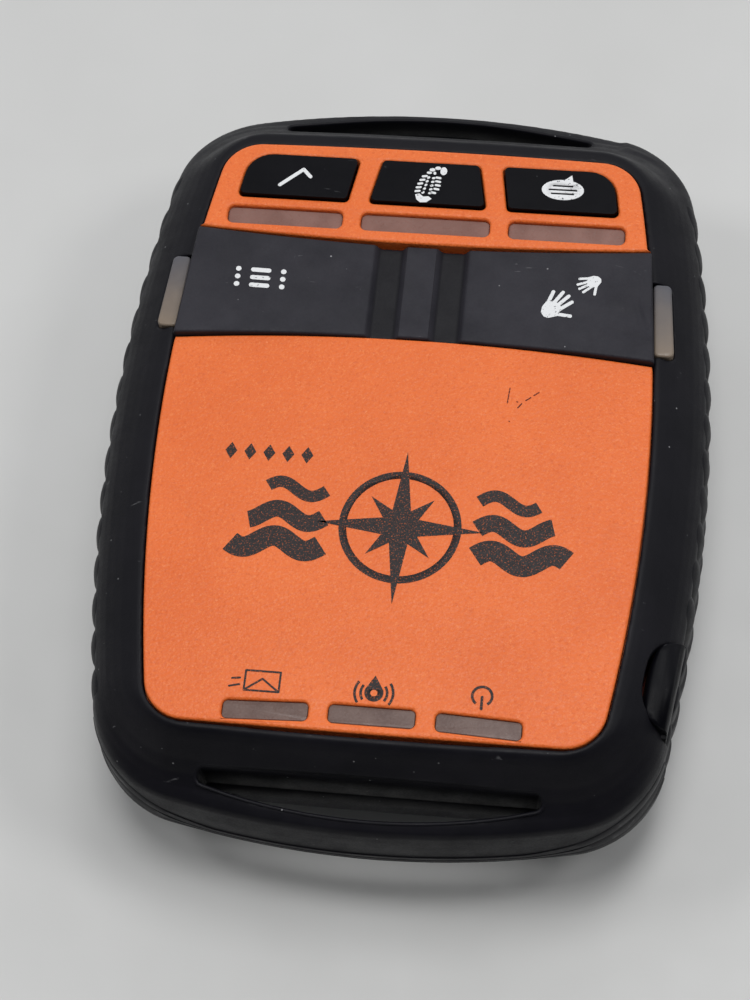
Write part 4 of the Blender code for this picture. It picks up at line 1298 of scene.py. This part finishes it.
def carry_over():
    """Give every CAD node that still shows its own finish."""
    finishes = (
        (BLACK_PLASTIC, ("rear_housing", "battery_door")),
        (SEAL, ("housing_gasket", "door_gasket")),
        (BOARD, ("circuit_board",)),
        (CHIP, ("power_switch",)),
        (CERAMIC, ("position_antenna", "uplink_antenna")),
        (TINNED, ("radio_shield", "contact_plate")),
        (LED, ("status_lights", "key_lights", "sos_light", "help_light")),
        (CELL, ("battery_cell",)),
        (STEEL, ("contact_spring", "door_screw", "door_bail", "housing_screw")),
        (BRASS, ("screw_insert",)),
    )
    for name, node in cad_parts.items():
        look = TINNED if name.endswith("_switch") else None
        for choice, starts in finishes:
            if name.startswith(starts):
                look = choice
        if look is None:
            continue
        if not node.material_slots:
            node.data.materials.append(look)
        for holder in node.material_slots:
            holder.material = look


# --------------------------------------------------------------------- stage

def floor():
    look = Look("pale_table", 0.62)
    cloud = look.noise(60.0, 4.0, 0.6)
    base = look.blend(look.spread(cloud, 0.3, 0.7), (0.555, 0.555, 0.545), (0.600, 0.600, 0.592))
    look.colour(base)
    look.roughness(look.spread(look.noise(9.0, 3.0), 0.3, 0.7, 0.55, 0.70))
    look.bump(look.noise(0.6, 3.0), 0.02, 0.3)
    half = 700.0
    table = add_object("table", mesh_from("table", [(-half, -half, 0), (half, -half, 0),
                       (half, half, 0), (-half, half, 0)], [(0, 1, 2, 3)]), look.material)


def area_light(name, place_mm, size_mm, power):
    """Round light that points at LIGHT_TARGET."""
    light = bpy.data.lights.new(name, "AREA")
    light.shape = "DISK"
    light.size = size_mm * MM
    light.energy = power
    holder = bpy.data.objects.new(name, light)
    bpy.context.scene.collection.objects.link(holder)
    holder.location = Vector(place_mm) * MM
    direction = Vector(place_mm) - Vector(LIGHT_TARGET)
    holder.rotation_euler = direction.to_track_quat("Z", "Y").to_euler()


FAR_SIDE_SKY = 1.05
NEAR_SIDE_SKY = 0.13
LIGHT_TARGET = (0.0, 0.0, 10.0)
# Name, place, diameter, power
AREA_LIGHTS = (
    ("overhead_light", (0.0, 0.0, 560.0), 165.0, 0.95),
    ("far_light", (-70.0, -150.0, 520.0), 150.0, 0.44),
    ("left_light", (300.0, 0.0, 400.0), 140.0, 0.42),
    ("right_light", (-300.0, 0.0, 400.0), 140.0, 0.45),
)


def lights():
    """Soft room that is brighter beyond the far end, and four round lights above."""
    world = bpy.data.worlds.new("studio")
    bpy.context.scene.world = world
    world.use_nodes = True
    nodes, links = world.node_tree.nodes, world.node_tree.links
    backdrop = nodes["Background"]
    backdrop.inputs["Color"].default_value = (0.95, 0.97, 1.0, 1.0)
    split = nodes.new("ShaderNodeSeparateXYZ")
    links.new(nodes.new("ShaderNodeTexCoord").outputs["Generated"], split.inputs["Vector"])
    fade = nodes.new("ShaderNodeMapRange")
    for key, value in (("From Min", -1.0), ("From Max", 0.0), ("To Min", FAR_SIDE_SKY),
                       ("To Max", NEAR_SIDE_SKY)):
        fade.inputs[key].default_value = value
    links.new(split.outputs["Y"], fade.inputs["Value"])
    links.new(fade.outputs["Result"], backdrop.inputs["Strength"])
    for name, place_mm, size_mm, power in AREA_LIGHTS:
        area_light(name, place_mm, size_mm, power)
    bpy.context.scene.view_settings.view_transform = "Standard"


def camera():
    """The photographer's place: above the end with the status lights, a little towards -X."""
    elevation = math.radians(64.05)
    azimuth = math.radians(12.10)
    roll = math.radians(-6.91)
    distance = 242.45
    target = Vector((2.05, 9.59, 24.7))
    back = Vector((-math.sin(azimuth) * math.cos(elevation),
                   math.cos(azimuth) * math.cos(elevation), math.sin(elevation)))
    right = Vector((-math.cos(azimuth), -math.sin(azimuth), 0.0))
    up = back.cross(right)
    turned_right = right * math.cos(roll) + up * math.sin(roll)
    turned_up = up * math.cos(roll) - right * math.sin(roll)
    data = bpy.data.cameras.new("photo_view")
    data.lens = 84.93
    data.clip_start = 0.01
    holder = bpy.data.objects.new("photo_view", data)
    bpy.context.scene.collection.objects.link(holder)
    rotation = Matrix((turned_right, turned_up, back)).transposed().to_4x4()
    holder.matrix_world = Matrix.Translation((target + back * distance) * MM) @ rotation
    bpy.context.scene.camera = holder


camera()
floor()
lights()
bumper()
side_grips()
end_bands()
power_button()
front_housing()
key_caps()
emergency_keys()
light_windows()
strap()
status_marks()
face_emblem()
face_scratches()
key_marks()
flap_marks()
carry_over()
